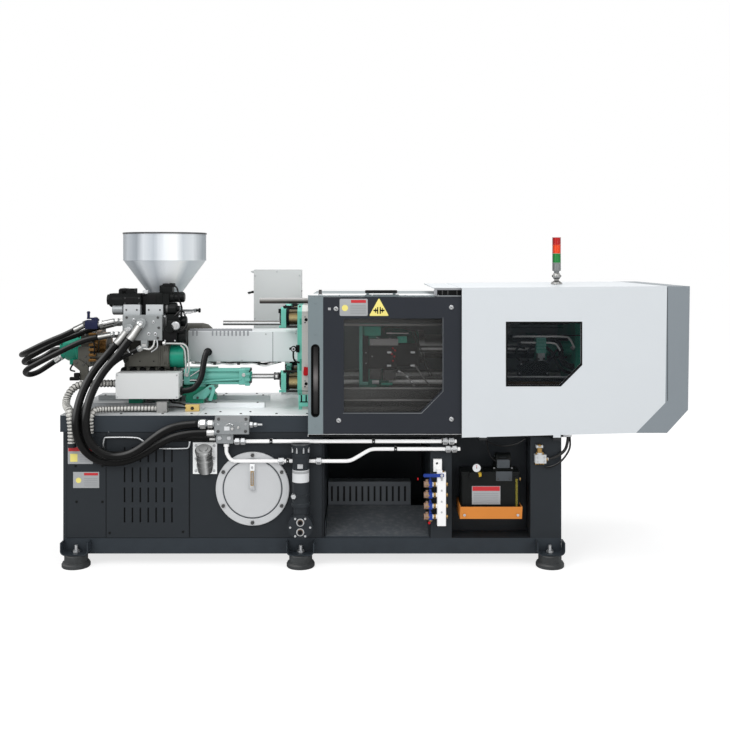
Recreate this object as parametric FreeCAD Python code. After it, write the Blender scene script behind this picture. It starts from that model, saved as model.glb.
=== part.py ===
import FreeCAD, Part
import math
import os
from FreeCAD import Vector

# Injection moulding machine of about 70 t clamping force, in millimetres.
# +Z is up, +X runs from the injection unit to the clamping unit, and -Y is the operator's side.
# The origin is the middle of the machine. Heights are drawn from a datum under the floor, and each
# piece is set down by that much when it is written, so that the written parts stand on Z = 0.
FLOOR_Z = 30

# ---- Base ----
BASE_X = (-1640, 1100)
BASE_HALF_WIDTH = 430
BASE_Z = (90, 850)
BAND_TOP = 176
RAIL_BOTTOM = 760
RAIL_LIP = 15
WALL = 10
TANK_X = (-946, -215)
BAY_X = (-205, 380)
POST_X = (380, 497)
NICHE_X = (537, 930)
NICHE_DEPTH = 150
FOOT_X = (-1561, -332, 1032)
FOOT_Y = 455
PAD_RADIUS = 77
BRACKET_HALF = 76
BRACKET_REACH = 68
BRACKET_Z = (98, 168)
BRACKET_WALL = 6
SHEET = 3
BED_TOP = BASE_Z[1] + SHEET

# ---- Clamping unit ----
AXIS_Z = 1190
TIE_HALF_PITCH = 184
TIE_RADIUS = 27.5
PLATEN_HALF = 256
PLATEN_BEVEL = 34
FIXED_PLATEN_X = (-364, -244)
MOVING_PLATEN_X = (-14, 86)
CYLINDER_PLATEN_X = (1215, 1325)
LOCATING_RADIUS = 50
LOCATING_DEPTH = 16
MOULD_BOLT_RADIUS = 7
MOULD_BOLT_DEPTH = 32
MOULD_BOLT_PITCH = (70, 210)
RAM_RADIUS = 70
TRAVEL_ROD_Y = 143
TRAVEL_ROD_RADIUS = 18
CLEARANCE = 0.3

# ---- Guards ----
GATE_X = (-290, 600)
GATE_Y = (-492, -462)
GATE_Z = (760, 1503)
STRIP_WIDTH = 83
COVER_X = (545, 1656)
COVER_Y = 510
COVER_Z = (743, 1560)
COVER_SKIN = 4
CAP_END_X = 1780
CAP_BOTTOM_Z = 768

# ---- Injection unit ----
FEED_X = -1169
HOPPER_RADIUS = 241.5
HOPPER_Z = (1513, 1704, 1865)
HOPPER_OUTLET = 102
BARREL_RADIUS = 48
BORE_RADIUS = 17.5
SCREW_RADIUS = 17.2
BARREL_COVER_X = (-1013, -370)
BARREL_COVER_Z = (1106, 1290)
BARREL_COVER_HALF = 95
RAIL_Y = 150
RAIL_TOP = 880
CARRIAGE_X = (-1400, -880)
TRAVERSE_Y, TRAVERSE_Z = -150, 1032
GUIDE_Y, GUIDE_Z = 168, 1318
INJECTION_AXES = ((-150, 1148), (150, 1246))
BACK_PLATE_X = (-1635, -1566)
MOTOR_END_X = -1780


def box(x, y, z):
    """A block between the low and high limits on each axis."""
    return Part.makeBox(x[1] - x[0], y[1] - y[0], z[1] - z[0], Vector(x[0], y[0], z[0]))


def rod_x(x, y, z, radius):
    """A round bar along X."""
    return Part.makeCylinder(radius, x[1] - x[0], Vector(x[0], y, z), Vector(1, 0, 0))


def rod_y(x, y, z, radius):
    """A round bar along Y."""
    return Part.makeCylinder(radius, y[1] - y[0], Vector(x, y[0], z), Vector(0, 1, 0))


def rod_z(x, y, z, radius):
    """A round bar along Z."""
    return Part.makeCylinder(radius, z[1] - z[0], Vector(x, y, z[0]), Vector(0, 0, 1))


def bar(start, end, radius):
    """A round bar between two points."""
    run = Vector(*end) - Vector(*start)
    return Part.makeCylinder(radius, run.Length, Vector(*start), run)


def prism_y(outline, y):
    """An outline of (x, z) points, drawn out between two y limits."""
    points = [Vector(a, y[0], b) for a, b in outline]
    face = Part.Face(Part.makePolygon(points + points[:1]))
    return face.extrude(Vector(0, y[1] - y[0], 0))


def prism_x(outline, x):
    """An outline of (y, z) points, drawn out between two x limits."""
    points = [Vector(x[0], a, b) for a, b in outline]
    face = Part.Face(Part.makePolygon(points + points[:1]))
    return face.extrude(Vector(x[1] - x[0], 0, 0))


def turned(outline, centre, axis):
    """A solid of revolution from (radius, height) points about an axis through the centre."""
    points = [Vector(r, 0, h) for r, h in outline]
    face = Part.Face(Part.makePolygon(points + points[:1]))
    solid = face.revolve(Vector(0, 0, 0), Vector(0, 0, 1), 360)
    solid.Placement = FreeCAD.Placement(Vector(*centre), FreeCAD.Rotation(Vector(0, 0, 1), Vector(*axis)))
    return solid


def joined(first, *others):
    """One solid from pieces that share faces or overlap."""
    return first.fuse(list(others)).removeSplitter()


def without(shape, *tools):
    """The shape with the tools cut out of it."""
    return shape.cut(list(tools))


def softened(shape, radius, axis):
    """The shape with every straight edge along one axis rounded."""
    edges = []
    for edge in shape.Edges:
        if isinstance(edge.Curve, Part.Line) and abs(edge.Curve.Direction.dot(Vector(*axis))) > 0.999:
            edges.append(edge)
    return shape.makeFillet(radius, edges)


def group(pieces):
    """Separate solids that share one node."""
    return Part.Compound(list(pieces))


def mirrored(shape):
    """The same piece on the other side of the machine."""
    return shape.mirror(Vector(0, 0, 0), Vector(0, 1, 0))


def both_sides(shape):
    """A piece of the operator's side, with its twin on the far side."""
    return [shape, mirrored(shape)]


def tie_bar_places():
    """The (y, z) centres of the four tie bars."""
    sides = (-TIE_HALF_PITCH, TIE_HALF_PITCH)
    return [(y, AXIS_Z + z) for y in sides for z in sides]


# ---- Tubes along a route ----


def rounded_path(route, tightest=None):
    """Straight runs through the route's points, joined by tangent arcs; also gives the arc radii."""
    points = [Vector(*p) for p in route]
    edges, radii = [], []
    start = points[0]
    for before, corner, after in zip(points, points[1:], points[2:]):
        inward = (before - corner).normalize()
        outward = (after - corner).normalize()
        turn = math.pi - inward.getAngle(outward)
        shorter = min((before - corner).Length, (after - corner).Length)
        reach = 0.45 * shorter
        radius = reach / math.tan(turn / 2)
        if tightest and radius > tightest:
            radius = tightest
            reach = radius * math.tan(turn / 2)
        radii.append(radius)
        first, last = corner + inward * reach, corner + outward * reach
        towards_centre = (inward + outward).normalize()
        middle = corner + towards_centre * (radius / math.cos(turn / 2) - radius)
        edges.append(Part.LineSegment(start, first).toShape())
        edges.append(Part.Arc(first, middle, last).toShape())
        start = last
    edges.append(Part.LineSegment(start, points[-1]).toShape())
    return Part.Wire(edges), radii


def tube(route, radius, name=None, bend=None):
    """A round tube along a route, with its volume checked against section times length."""
    path, radii = rounded_path(route, bend)
    heading = Vector(*route[1]) - Vector(*route[0])
    profile = Part.Wire(Part.makeCircle(radius, Vector(*route[0]), heading))
    solid = path.makePipeShell([profile], True, False)
    if name:
        ideal = math.pi * radius ** 2 * path.Length
        share = solid.Volume / ideal
        print(f"{name}: length {path.Length:.0f}, least bend {min(radii):.0f}, volume {share:.4f}")
    return solid


# Hose routes run from the end on the machine to the far end.
HOSE_RADIUS = 22
DRAIN_RADIUS = 13
LOOP_RADIUS = 16
DRIVE_CONDUIT_RADIUS = 22
BED_CONDUIT_RADIUS = 18
HEATER_RADIUS = 18
CABLE_RADIUS = 5
SUPPLY_ROUTE = (
    (-1308.3, -294.1, 1254.5), (-1367.7, -310.7, 1168.2), (-1441, -345, 1084), (-1485, -412, 982),
    (-1494, -490, 900), (-1496, -512, 817), (-1479, -516, 731), (-1427, -516, 669), (-1349, -516, 639),
    (-1268, -516, 647), (-1200, -517, 680), (-1133, -514, 733), (-1064, -507, 783), (-975, -484, 808),
    (-887.5, -482, 811.9),
)
RETURN_ROUTE = (
    (-1385.1, -280.1, 1229.7), (-1441, -284, 1163), (-1502, -330, 1083), (-1541, -404, 981),
    (-1551, -474, 892), (-1551, -506, 816), (-1537, -508, 730), (-1496, -494, 657), (-1435, -478, 612),
    (-1360, -473, 598), (-1278, -473, 609), (-1213, -475, 635), (-1152, -482, 669), (-1096, -486, 708),
    (-1030, -488, 741), (-960, -484, 757), (-890, -480, 764), (-810, -480, 764),
)
DRAIN_ROUTE = (
    (-1270.9, -262, 1195.5), (-1326, -262, 1168), (-1400, -274, 1128), (-1462, -304, 1048),
    (-1500, -340, 972), (-1519, -398, 914), (-1524, -450, 882), (-1526, -462, 812), (-1522, -456, 738),
    (-1498, -451, 690), (-1440, -449, 655), (-1372, -449, 640), (-1284, -449, 646), (-1216, -449, 672), (-1147, -449, 706),
    (-1076, -449, 719), (-994, -450, 722), (-906, -452, 726), (-810, -452, 726),
)
VALVE_LOOP_ROUTE = (
    (-1646, -205, 1302.7), (-1706, -205, 1272), (-1783, -205, 1242), (-1864, -205, 1204),
    (-1915, -190, 1179), (-1968, -140, 1158), (-2000, -66, 1145), (-1985, 8, 1147), (-1940, 62, 1158),
    (-1890, 70, 1182), (-1838, 70, 1206), (-1780.5, 70, 1206),
)
MIDDLE_LOOP_ROUTE = (
    (-1512.5, -150, 1315.9), (-1571, -150, 1302.2), (-1642, -150, 1272), (-1725, -150, 1243),
    (-1804, -150, 1206), (-1883, -150, 1164), (-1928, -136, 1140), (-1972, -98, 1115), (-1988, -50, 1098),
    (-1966, -2, 1094), (-1918, 20, 1113), (-1868, 20, 1142), (-1832, 20, 1172), (-1780.5, 20, 1172),
)
LOWER_LOOP_ROUTE = (
    (-1508.6, -205, 1261.9), (-1567, -205, 1251.5), (-1631, -205, 1226), (-1708, -205, 1188),
    (-1786, -205, 1149), (-1864, -205, 1108), (-1911, -192, 1084), (-1946, -158, 1060),
    (-1956, -116, 1041), (-1944, -74, 1030), (-1911, -44, 1040), (-1867, -40, 1068),
    (-1809.8, -40, 1106.6),
)
DRIVE_CONDUIT_ROUTE = (
    (-1392, -262, 1004), (-1500, -262, 1004), (-1556, -263, 1003), (-1610, -268, 995),
    (-1646, -282, 964), (-1660, -308, 924), (-1650, -348, 898), (-1630, -392, 887), (-1608, -430, 886),
    (-1594, -462, 866), (-1588, -467, 824), (-1583, -463, 780), (-1583, -463, 703),
)
BED_CONDUIT_ROUTE = (
    (-1142, -330, 872), (-1194, -330, 872), (-1246, -331, 872), (-1298, -333, 872), (-1350, -340, 872),
    (-1398, -354, 873), (-1434, -382, 876), (-1456, -412, 880), (-1472, -446, 877), (-1480, -466, 848),
    (-1482, -464, 812), (-1482, -460, 786), (-1482, -460, 758),
)
HEATER_CONDUIT_ROUTE = (
    (-898, -98, 1166), (-898, -140, 1166), (-899, -176, 1158), (-903, -202, 1128), (-908, -216, 1082),
    (-914, -230, 1036), (-932, -244, 996), (-968, -256, 962), (-1020, -256, 962),
)
BED_CABLE_ROUTE = (
    (-1082, -330, 882), (-1050, -330, 882), (-1014, -326, 878), (-980, -312, 872), (-962, -286, 868),
    (-972, -258, 870), (-1004, -244, 880), (-1040, -242, 890), (-1076, -244, 892), (-1094, -246, 906),
    (-1096, -246, 924.5),
)


def ribbed_conduit(route, radius, bore, seam, name):
    """A corrugated metal conduit: a ruled loft of four circles a rib on the rounded path, with its bore."""
    path, radii = rounded_path(route)
    pitch = 19
    ribs = int(path.Length / pitch)
    step = path.Length / ribs
    places = [(0.0, 0.86), (0.22, 1.0), (0.62, 1.0), (0.84, 0.86)]
    stations = []
    for rib in range(ribs):
        stations += [((rib + part) * step, size) for part, size in places]
    stations.append((path.Length, 0.86))
    outer, inner = [], []
    for distance, size in stations:
        place, heading = point_on(path, distance)
        outer.append(steady_circle(place, heading, radius * size, seam))
        inner.append(steady_circle(place, heading, bore, seam))
    solid = Part.makeLoft(outer, True, True).cut(Part.makeLoft(inner, True, True))
    print(f"{name}: length {path.Length:.0f}, {ribs} ribs, least bend {min(radii):.0f}")
    return solid


def point_on(path, distance):
    """The point and heading at a distance along a path."""
    for edge in path.OrderedEdges:
        if distance <= edge.Length + 1e-6:
            at = edge.getParameterByLength(min(distance, edge.Length))
            return edge.valueAt(at), edge.tangentAt(at)
        distance -= edge.Length
    last = path.OrderedEdges[-1]
    return last.valueAt(last.LastParameter), last.tangentAt(last.LastParameter)


def steady_circle(place, heading, radius, seam):
    """A circle square to the heading, whose start keeps to one side along the whole conduit."""
    across = (seam - heading * seam.dot(heading)).normalize()
    circle = Part.makeCircle(radius)
    turn = FreeCAD.Rotation(across, heading.cross(across), heading, "ZXY")
    circle.Placement = FreeCAD.Placement(place, turn)
    return Part.Wire(circle)


# ---- Base ----


def base_frame():
    """Welded base: box sections, cross walls, an open parts bay and a niche for the lubricator."""
    y = (-BASE_HALF_WIDTH, BASE_HALF_WIDTH)
    body = box(BASE_X, y, BASE_Z)
    deep = (y[0] - 1, y[1] + 1)
    inside = (y[0] + WALL, y[1] - WALL)
    opening_z = (BAND_TOP, RAIL_BOTTOM)
    well_z = (BAND_TOP, BASE_Z[1] - WALL)
    rooms = [
        box((BASE_X[0] + 20, TANK_X[0] - 5), deep, opening_z),
        box((BASE_X[0] + 20, TANK_X[0] - 5), (inside[0] + 60, inside[1] - 60), well_z),
        box(TANK_X, (y[0] - 1, y[1] - WALL), opening_z),
        box(BAY_X, (y[0] - 1, y[1] - WALL), (BAND_TOP, RAIL_BOTTOM)),
        box((BAY_X[0] + 10, BAY_X[1] - 30), (-250, 250), (RAIL_BOTTOM - 1, BASE_Z[1] + 1)),
        box((POST_X[1], BASE_X[1] - 20), (y[0] + NICHE_DEPTH + WALL, y[1] - WALL), opening_z),
        box((POST_X[1], NICHE_X[1]), (y[0] - 1, y[0] + NICHE_DEPTH), opening_z),
        box((POST_X[0] + 20, POST_X[1] - 20), (y[0] + 60, y[1] - WALL), opening_z),
        box((BASE_X[0] + 80, BASE_X[1] - 80), (-320, 320), (BASE_Z[0] - 1, BAND_TOP - WALL)),
    ]
    body = without(body, *rooms)
    lips = [box((BASE_X[0] - RAIL_LIP, BASE_X[0]), y, (RAIL_BOTTOM, BASE_Z[1]))]
    for side in (-1, 1):
        near, far = sorted((side * BASE_HALF_WIDTH, side * (BASE_HALF_WIDTH + 6)))
        lips.append(box((BASE_X[0] - RAIL_LIP, BASE_X[1]), (near, far), (RAIL_BOTTOM, BASE_Z[1])))
        beam = sorted((side * 292, side * 330))
        lips.append(box((-236, BASE_X[1]), beam, (BASE_Z[1], 985)))
    brackets = [foot_bracket(x, side) for x in FOOT_X for side in (-1, 1)]
    return joined(body, *lips, *brackets)


def foot_bracket(x, side):
    """A trough of folded plate with rounded lower corners, which carries a levelling foot's bolt."""
    span = sorted((side * (BASE_HALF_WIDTH - 8), side * (BASE_HALF_WIDTH + BRACKET_REACH)))
    low, high = BRACKET_Z
    half, wall = BRACKET_HALF, BRACKET_WALL
    past = (span[0] - 1, span[1] + 1)
    outer = softened(box((x - half, x + half), span, (low, high + 60)), 26, (0, 1, 0))
    inner = box((x - half + wall, x + half - wall), past, (low + wall, high + 60 - wall))
    above = box((x - half - 1, x + half + 1), past, (high, high + 61))
    hole = rod_z(x, side * FOOT_Y, (low - 1, low + wall + 1), 11)
    return without(outer, softened(inner, 20, (0, 1, 0)), above, hole)


GLAND_HEIGHT = 22


def cabinet_panels():
    """The sheet panels of the pump room: a blank one, a louvred one, and two plain ones at the back."""
    z = (BAND_TOP + 3, RAIL_BOTTOM - 3)
    y = (-BASE_HALF_WIDTH - 4, -BASE_HALF_WIDTH)
    left = BASE_X[0] + 22
    seam = -1403
    blank = box((left, seam - 2), y, z)
    louvred = box((seam + 2, TANK_X[0] - 3), y, z)
    slots = []
    for column in range(7):
        for row in range(4):
            x = -1306 + 43.4 * column
            low = 262 + 110.5 * row
            slots.append(box((x, x + 9), (y[0] - 1, y[1] + 1), (low, low + 82)))
    louvred = without(louvred, *slots)
    glands = []
    ends = ((DRIVE_CONDUIT_ROUTE[-1], DRIVE_CONDUIT_RADIUS), (BED_CONDUIT_ROUTE[-1], BED_CONDUIT_RADIUS))
    for (x, centre, end), radius in ends:
        collar = rod_z(x, centre, (end - GLAND_HEIGHT, end), radius + 1)
        root = box((x - 14, x + 14), (centre, y[0] + 1), (end - GLAND_HEIGHT, end - 4))
        glands += [collar, root]
    blank = joined(blank, *glands)
    back = box((left, -1284), (BASE_HALF_WIDTH, BASE_HALF_WIDTH + 4), z)
    back_right = box((-1280, TANK_X[0] - 3), (BASE_HALF_WIDTH, BASE_HALF_WIDTH + 4), z)
    return group([blank, louvred, back, back_right])


TANK_COVER_X, TANK_COVER_Z = -597, 449
TANK_COVER_RADIUS = 201


def oil_tank():
    """The oil tank, a folded box with a round cleaning opening in its front wall."""
    z = (BAND_TOP + 2, RAIL_BOTTOM - 2)
    x = (TANK_X[0] + 2, TANK_X[1] - 2)
    y = (-BASE_HALF_WIDTH, 300)
    shell = box(x, y, z)
    inside = box((x[0] + 5, x[1] - 5), (y[0] + 5, y[1] - 5), (z[0] + 5, z[1] - 5))
    mouth = rod_y(TANK_COVER_X, (y[0] - 1, y[0] + 10), TANK_COVER_Z, 160)
    return without(shell, inside, mouth)


def tank_cover():
    """The dished cleaning cover with its rim, six bolts and the oil level gauge."""
    y = -BASE_HALF_WIDTH
    outline = [(0, 14), (0, 6), (148, 6), (157, 0), (TANK_COVER_RADIUS, 0), (TANK_COVER_RADIUS, 11)]
    outline += [(TANK_COVER_RADIUS - 3, 14), (168, 14), (164, 10), (158, 10), (154, 14)]
    cover = turned(outline, (TANK_COVER_X, y, TANK_COVER_Z), (0, -1, 0))
    bolts = []
    for step in range(6):
        turn = math.radians(90 + 60 * step)
        x = TANK_COVER_X + 185 * math.cos(turn)
        z = TANK_COVER_Z + 185 * math.sin(turn)
        bolts.append(rod_y(x, (y - 21, y - 14), z, 8))
    gauge = softened(box((-608, -586), (y - 32, y - 14), (448, 588)), 8, (0, 1, 0))
    return group([cover, gauge] + bolts)


FILLER_X, FILLER_Z = -858, 585
FILLER_TILT = (0, -0.5, 0.866)


def filler_breather():
    """The tank's filler: a square flange, a tilted neck and a round cap."""
    y = -BASE_HALF_WIDTH
    flange = softened(box((-925, -792), (y - 10, y), (530, 704)), 10, (0, 1, 0))
    neck = [(0, -40), (44, -40), (44, 40), (37, 50), (37, 66), (42, 66), (42, 88), (0, 88)]
    neck = turned(neck, (FILLER_X, y - 10, FILLER_Z), FILLER_TILT)
    neck = without(neck, box((-1000, -700), (y - 1, y + 100), (500, 800)))
    top = [y - 10 + FILLER_TILT[1] * 88, FILLER_Z + FILLER_TILT[2] * 88]
    cap = [(0, 0), (46, 0), (46, 14), (40, 20), (0, 20)]
    cap = turned(cap, (FILLER_X, top[0], top[1]), FILLER_TILT)
    return group([joined(flange, neck), cap])


def oil_cooler():
    """The shell cooler: an upright ribbed tube on a round head with two water ports."""
    x, y = -330, -481
    tube_part = [(0, 0), (50.5, 0), (50.5, 16), (45, 22), (45, 58), (48, 58), (48, 66), (45, 66), (45, 268)]
    tube_part += [(48, 268), (48, 284), (43, 290), (43, 316), (50.5, 316), (50.5, 336), (0, 336)]
    tube_part = turned(tube_part, (x, y, 366), (0, 0, 1))
    head = rod_y(x, (y - 44, -BASE_HALF_WIDTH), 262, 66)
    neck = rod_z(x, y, (300, 370), 40)
    ports = [rod_y(x, (y - 52, y - 40), z, 14) for z in (286, 234)]
    bores = [rod_y(x, (y - 53, y - 36), z, 9) for z in (286, 234)]
    strap = box((x - 30, x + 30), (y + 30, -BASE_HALF_WIDTH), (560, 590))
    return without(joined(head, neck, tube_part, strap, *ports), *bores)


def parts_chute():
    """The folded chute that carries fallen mouldings forward, with a slotted back wall."""
    x0, x1 = BAY_X[0] + 2, BAY_X[1] - 2
    back_x0, back_x1 = x0 + 6, 290
    back_y, front_y = -30, -BASE_HALF_WIDTH + 8
    high, low = 254, BAND_TOP
    skin = 4
    slope = [(back_y, high - skin), (back_y, high), (front_y, low + skin), (front_y, low)]
    floor = prism_x(slope, (x0, x1))
    wall = box((back_x0, back_x1), (back_y, back_y + skin), (high - skin, 392))
    slots = []
    for n in range(13):
        start = back_x0 + 20 + 36 * n
        slots.append(box((start, start + 6), (back_y - 1, back_y + 9), (276, 366)))
    wall = without(wall, *slots)
    ledge = box((back_x0, back_x1), (back_y, 60), (388, 392))
    return joined(floor, wall, ledge)


def bed_top_plates():
    """Stainless sheets that cover the bed, with a joint between them."""
    y = (-BASE_HALF_WIDTH - 6, BASE_HALF_WIDTH + 6)
    z = (BASE_Z[1], BED_TOP)
    left = box((BASE_X[0] - RAIL_LIP, -902), y, z)
    right = box((-900, -240), y, z)
    return group([left, right])


def levelling_feet():
    """Six levelling feet: a rubber pad under a steel cup, and the bolt with its two nuts."""
    low = BRACKET_Z[0]
    pieces = []
    for x in FOOT_X:
        for y in (-FOOT_Y, FOOT_Y):
            pad = [(0, 0), (PAD_RADIUS - 3, 0), (PAD_RADIUS, 4), (PAD_RADIUS, 18), (PAD_RADIUS - 6, 24)]
            pad += [(40, 30), (28, 38), (0, 38)]
            pieces.append(turned(pad, (x, y, FLOOR_Z), (0, 0, 1)))
            bolt = rod_z(x, y, (FLOOR_Z + 38, low + 46), 9)
            lower_nut = rod_z(x, y, (low - 14, low), 17)
            upper_nut = rod_z(x, y, (low + BRACKET_WALL, low + BRACKET_WALL + 14), 17)
            pieces.append(joined(bolt, lower_nut, upper_nut))
    return group(pieces)


# ---- Services on the base ----

WATER_X = 437
WATER_OUTLET_Z = (481, 423, 363, 305)


def water_manifold():
    """The upright cooling-water bar on its lug, with four valve bodies and four hose tails."""
    y = -BASE_HALF_WIDTH
    bar_body = softened(box((WATER_X - 24, WATER_X + 24), (y - 60, y - 22), (258, 549)), 5, (0, 0, 1))
    lug = box((WATER_X - 42, WATER_X + 4), (y - 22, y), (545, 613))
    lug = without(lug, rod_y(WATER_X - 22, (y - 23, y + 1), 590, 7))
    stand = box((WATER_X - 14, WATER_X + 14), (y - 22, y), (262, 300))
    tie = box((WATER_X - 24, WATER_X + 4), (y - 60, y - 22), (540, 560))
    pieces = [bar_body, lug, stand, tie]
    for z in WATER_OUTLET_Z:
        pieces.append(rod_x((WATER_X - 62, WATER_X - 20), y - 41, z, 12))
        pieces.append(rod_x((WATER_X - 96, WATER_X - 62), y - 41, z, 17))
        pieces.append(rod_z(WATER_X - 79, y - 41, (z, z + 26), 8))
        pieces.append(rod_x((WATER_X + 20, WATER_X + 34), y - 41, z, 9))
    return joined(*pieces)


def water_valve_lever():
    """The blue lever of the shut-off valve at the top of the water bar."""
    y = -BASE_HALF_WIDTH - 66
    stem = rod_y(WATER_X, (y, y + 6), 535, 8)
    arm = softened(box((WATER_X - 100, WATER_X + 12), (y - 6, y), (526, 544)), 7, (0, 1, 0))
    return joined(stem, arm)


LUBE_X = (541, 870)
LUBE_Y = (-475, -330)


def lube_tray():
    """The orange drip tray under the lubricator, bolted to the niche's back wall."""
    outer = prism_x([(LUBE_Y[0] - 30, 366), (LUBE_Y[0] - 10, 296), (-282, 296), (-282, 366)], (537, 874))
    inner = prism_x([(LUBE_Y[0] - 26, 367), (LUBE_Y[0] - 7, 300), (-286, 300), (-286, 367)], (541, 870))
    return without(outer, inner)


def lube_pump():
    """The central lubricator: reservoir, filler cap, pressure gauge and the motor on top."""
    tank = softened(box((545, 866), LUBE_Y, (300, 548)), 22, (0, 0, 1))
    gauge = rod_y(614, (LUBE_Y[0] - 22, LUBE_Y[0] + 2), 532, 25)
    cap = rod_z(630, LUBE_Y[0] + 50, (548, 572), 21)
    flange = box((722, 832), (-450, -350), (548, 562))
    motor = rod_z(777, -400, (562, 622), 48)
    drum = rod_x((740, 822), -400, 596, 44)
    return group([joined(tank, gauge, flange, motor, drum), cap])


def lube_distributor():
    """The lubricant distributor block with its outlet, and the black pipe that rises to the bed."""
    y = -BASE_HALF_WIDTH
    block = box((950, 1010), (y - 40, y), (594, 640))
    outlet = rod_z(976, y - 22, (640, 676), 15)
    base = box((958, 994), (y - 30, y), (676, 690))
    pipe_route = ((1010, y - 20, 612), (1046, y - 20, 618), (1092, y - 20, 640), (1120, y - 20, 668),
                  (1131, y - 20, 712), (1134, y - 20, 760))
    pipe = tube(pipe_route, 8)
    clip = box((1100, 1146), (y - 30, y + 20), (736, 752))
    return joined(block, outlet, base, pipe, clip)


PIPE_RADIUS = 10
UPPER_PIPE_Z = 714
LOWER_PIPE_Z = 672
PIPE_Y = -462


def oil_pipes():
    """Steel oil pipes with their nuts on the base, and the two in the clamp cover."""
    nut, y = 17, PIPE_Y
    upper = rod_x((-690, 520), y, UPPER_PIPE_Z, PIPE_RADIUS)
    spans = ((-690, -666), (-658, -636), (446, 470), (480, 506))
    upper_nuts = [rod_x(span, y, UPPER_PIPE_Z, nut) for span in spans]
    drop = ((-738, y, 702), (-738, y, 652), (-712, y, 606), (-376, y, 606))
    lower = tube(drop, PIPE_RADIUS, bend=45)
    lower_nuts = [rod_x((-452, -424), y, 606, nut), rod_z(-738, y, (686, 700), 15)]
    rise = ((-284, y, 606), (-60, y, 606), (52, y, LOWER_PIPE_Z), (540, y, LOWER_PIPE_Z))
    onward = tube(rise, PIPE_RADIUS, bend=90)
    onward_nuts = [rod_x(span, y, z, nut) for span, z in (((-246, -220), 606), ((462, 486), LOWER_PIPE_Z),
                                                          ((496, 520), LOWER_PIPE_Z))]
    clips = []
    clip_places = [(-500, UPPER_PIPE_Z), (60, UPPER_PIPE_Z), (440, UPPER_PIPE_Z), (-410, 606)]
    clip_places.append((180, LOWER_PIPE_Z))
    for x, z in clip_places:
        clips.append(box((x, x + 14), (y + 6, -BASE_HALF_WIDTH), (z - 9, z + 9)))
    pressure = tube(((850, -215, 1262), (1070, -215, 1262), (1130, -215, 1226), (1150, -215, 1120),
                     (1190, -215, 1096), (1215, -215, 1096)), 16, bend=60)
    pilot = tube(((890, -240, 1222), (1030, -240, 1222), (1086, -240, 1180), (1130, -240, 1086),
                  (1180, -240, 1060), (1215, -240, 1060)), 9, bend=60)
    runs = [joined(upper, *upper_nuts, *clips[:3]), joined(lower, *lower_nuts, clips[3])]
    return group(runs + [joined(onward, *onward_nuts, clips[4]), pressure, pilot])


def base_manifold():
    """The steel valve block on the base's top rail, with its sloped plate and hose unions."""
    y = -BASE_HALF_WIDTH - 6
    block = prism_x([(y, 758), (y - 58, 758), (y - 58, 824), (y - 24, 852), (y, 852)], (-799, -612))
    left = [rod_x((-886, -845), -482, 812, 24), rod_x((-845, -799), -482, 812, 19)]
    right = [rod_x((-612, -590), -470, 806, 14), rod_x((-590, -566), -470, 806, 10)]
    right.append(rod_x((-566, -548), -470, 806, 6))
    under = [rod_x((-808, -790), -480, 764, 18), rod_x((-808, -790), -452, 726, 12),
             box((-791, -700), (-480, -BASE_HALF_WIDTH), (706, 760))]
    return joined(block, *left, *right, *under)


def control_cabinet():
    """The control cabinet on its post at the rear of the bed, with folded edges and two pull handles."""
    y = (420, 510)
    case = softened(box((-690, -386), y, (1060, 1641)), 6, (0, 1, 0))
    post = box((-490, -410), (400, 432), (BED_TOP, 1070))
    foot = box((-510, -390), (360, 432), (BED_TOP, BED_TOP + 10))
    neck = box((-490, -410), (400, 440), (1064, 1120))
    handles = []
    for z in (1490, 1248):
        handles.append(tube(((-690, 440, z + 8), (-716, 440, z + 8), (-726, 440, z - 4)), 7, bend=8))
    hasp = box((-712, -690), (450, 470), (1622, 1632))
    return joined(case, post, foot, neck, hasp, *handles)


def guide_rails():
    """The carriage's bed rails and the lower running rails of both gates."""
    pieces = []
    for side in (-1, 1):
        rail = sorted((side * (RAIL_Y - 22), side * (RAIL_Y + 22)))
        pieces.append(box((-1600, -560), rail, (BED_TOP, RAIL_TOP)))
        gate = sorted((side * BASE_HALF_WIDTH, side * 496))
        pieces.append(box((-290, 1100), gate, (744, GATE_Z[0] - 2)))
    return group(pieces)


# ---- Clamping unit ----


def platen_blank(x):
    """A square casting with bevelled corners, drawn about the machine's axis."""
    low, high = AXIS_Z - PLATEN_HALF, AXIS_Z + PLATEN_HALF
    block = box(x, (-PLATEN_HALF, PLATEN_HALF), (low, high))
    edges = []
    for edge in block.Edges:
        if abs(edge.Curve.Direction.x) > 0.999:
            edges.append(edge)
    return block.makeChamfer(PLATEN_BEVEL, edges)


def tie_bar_bores(x, radius):
    """Cutters for the four tie-bar holes."""
    return [rod_x(x, y, z, radius) for y, z in tie_bar_places()]


def mould_bolt_places():
    """The (y, z) centres of the mould fixing holes: two squares about the axis."""
    places = []
    for pitch in MOULD_BOLT_PITCH:
        places += [(a * pitch / 2, AXIS_Z + b * 105) for a in (-1, 1) for b in (-1, 1)]
    return places


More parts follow.
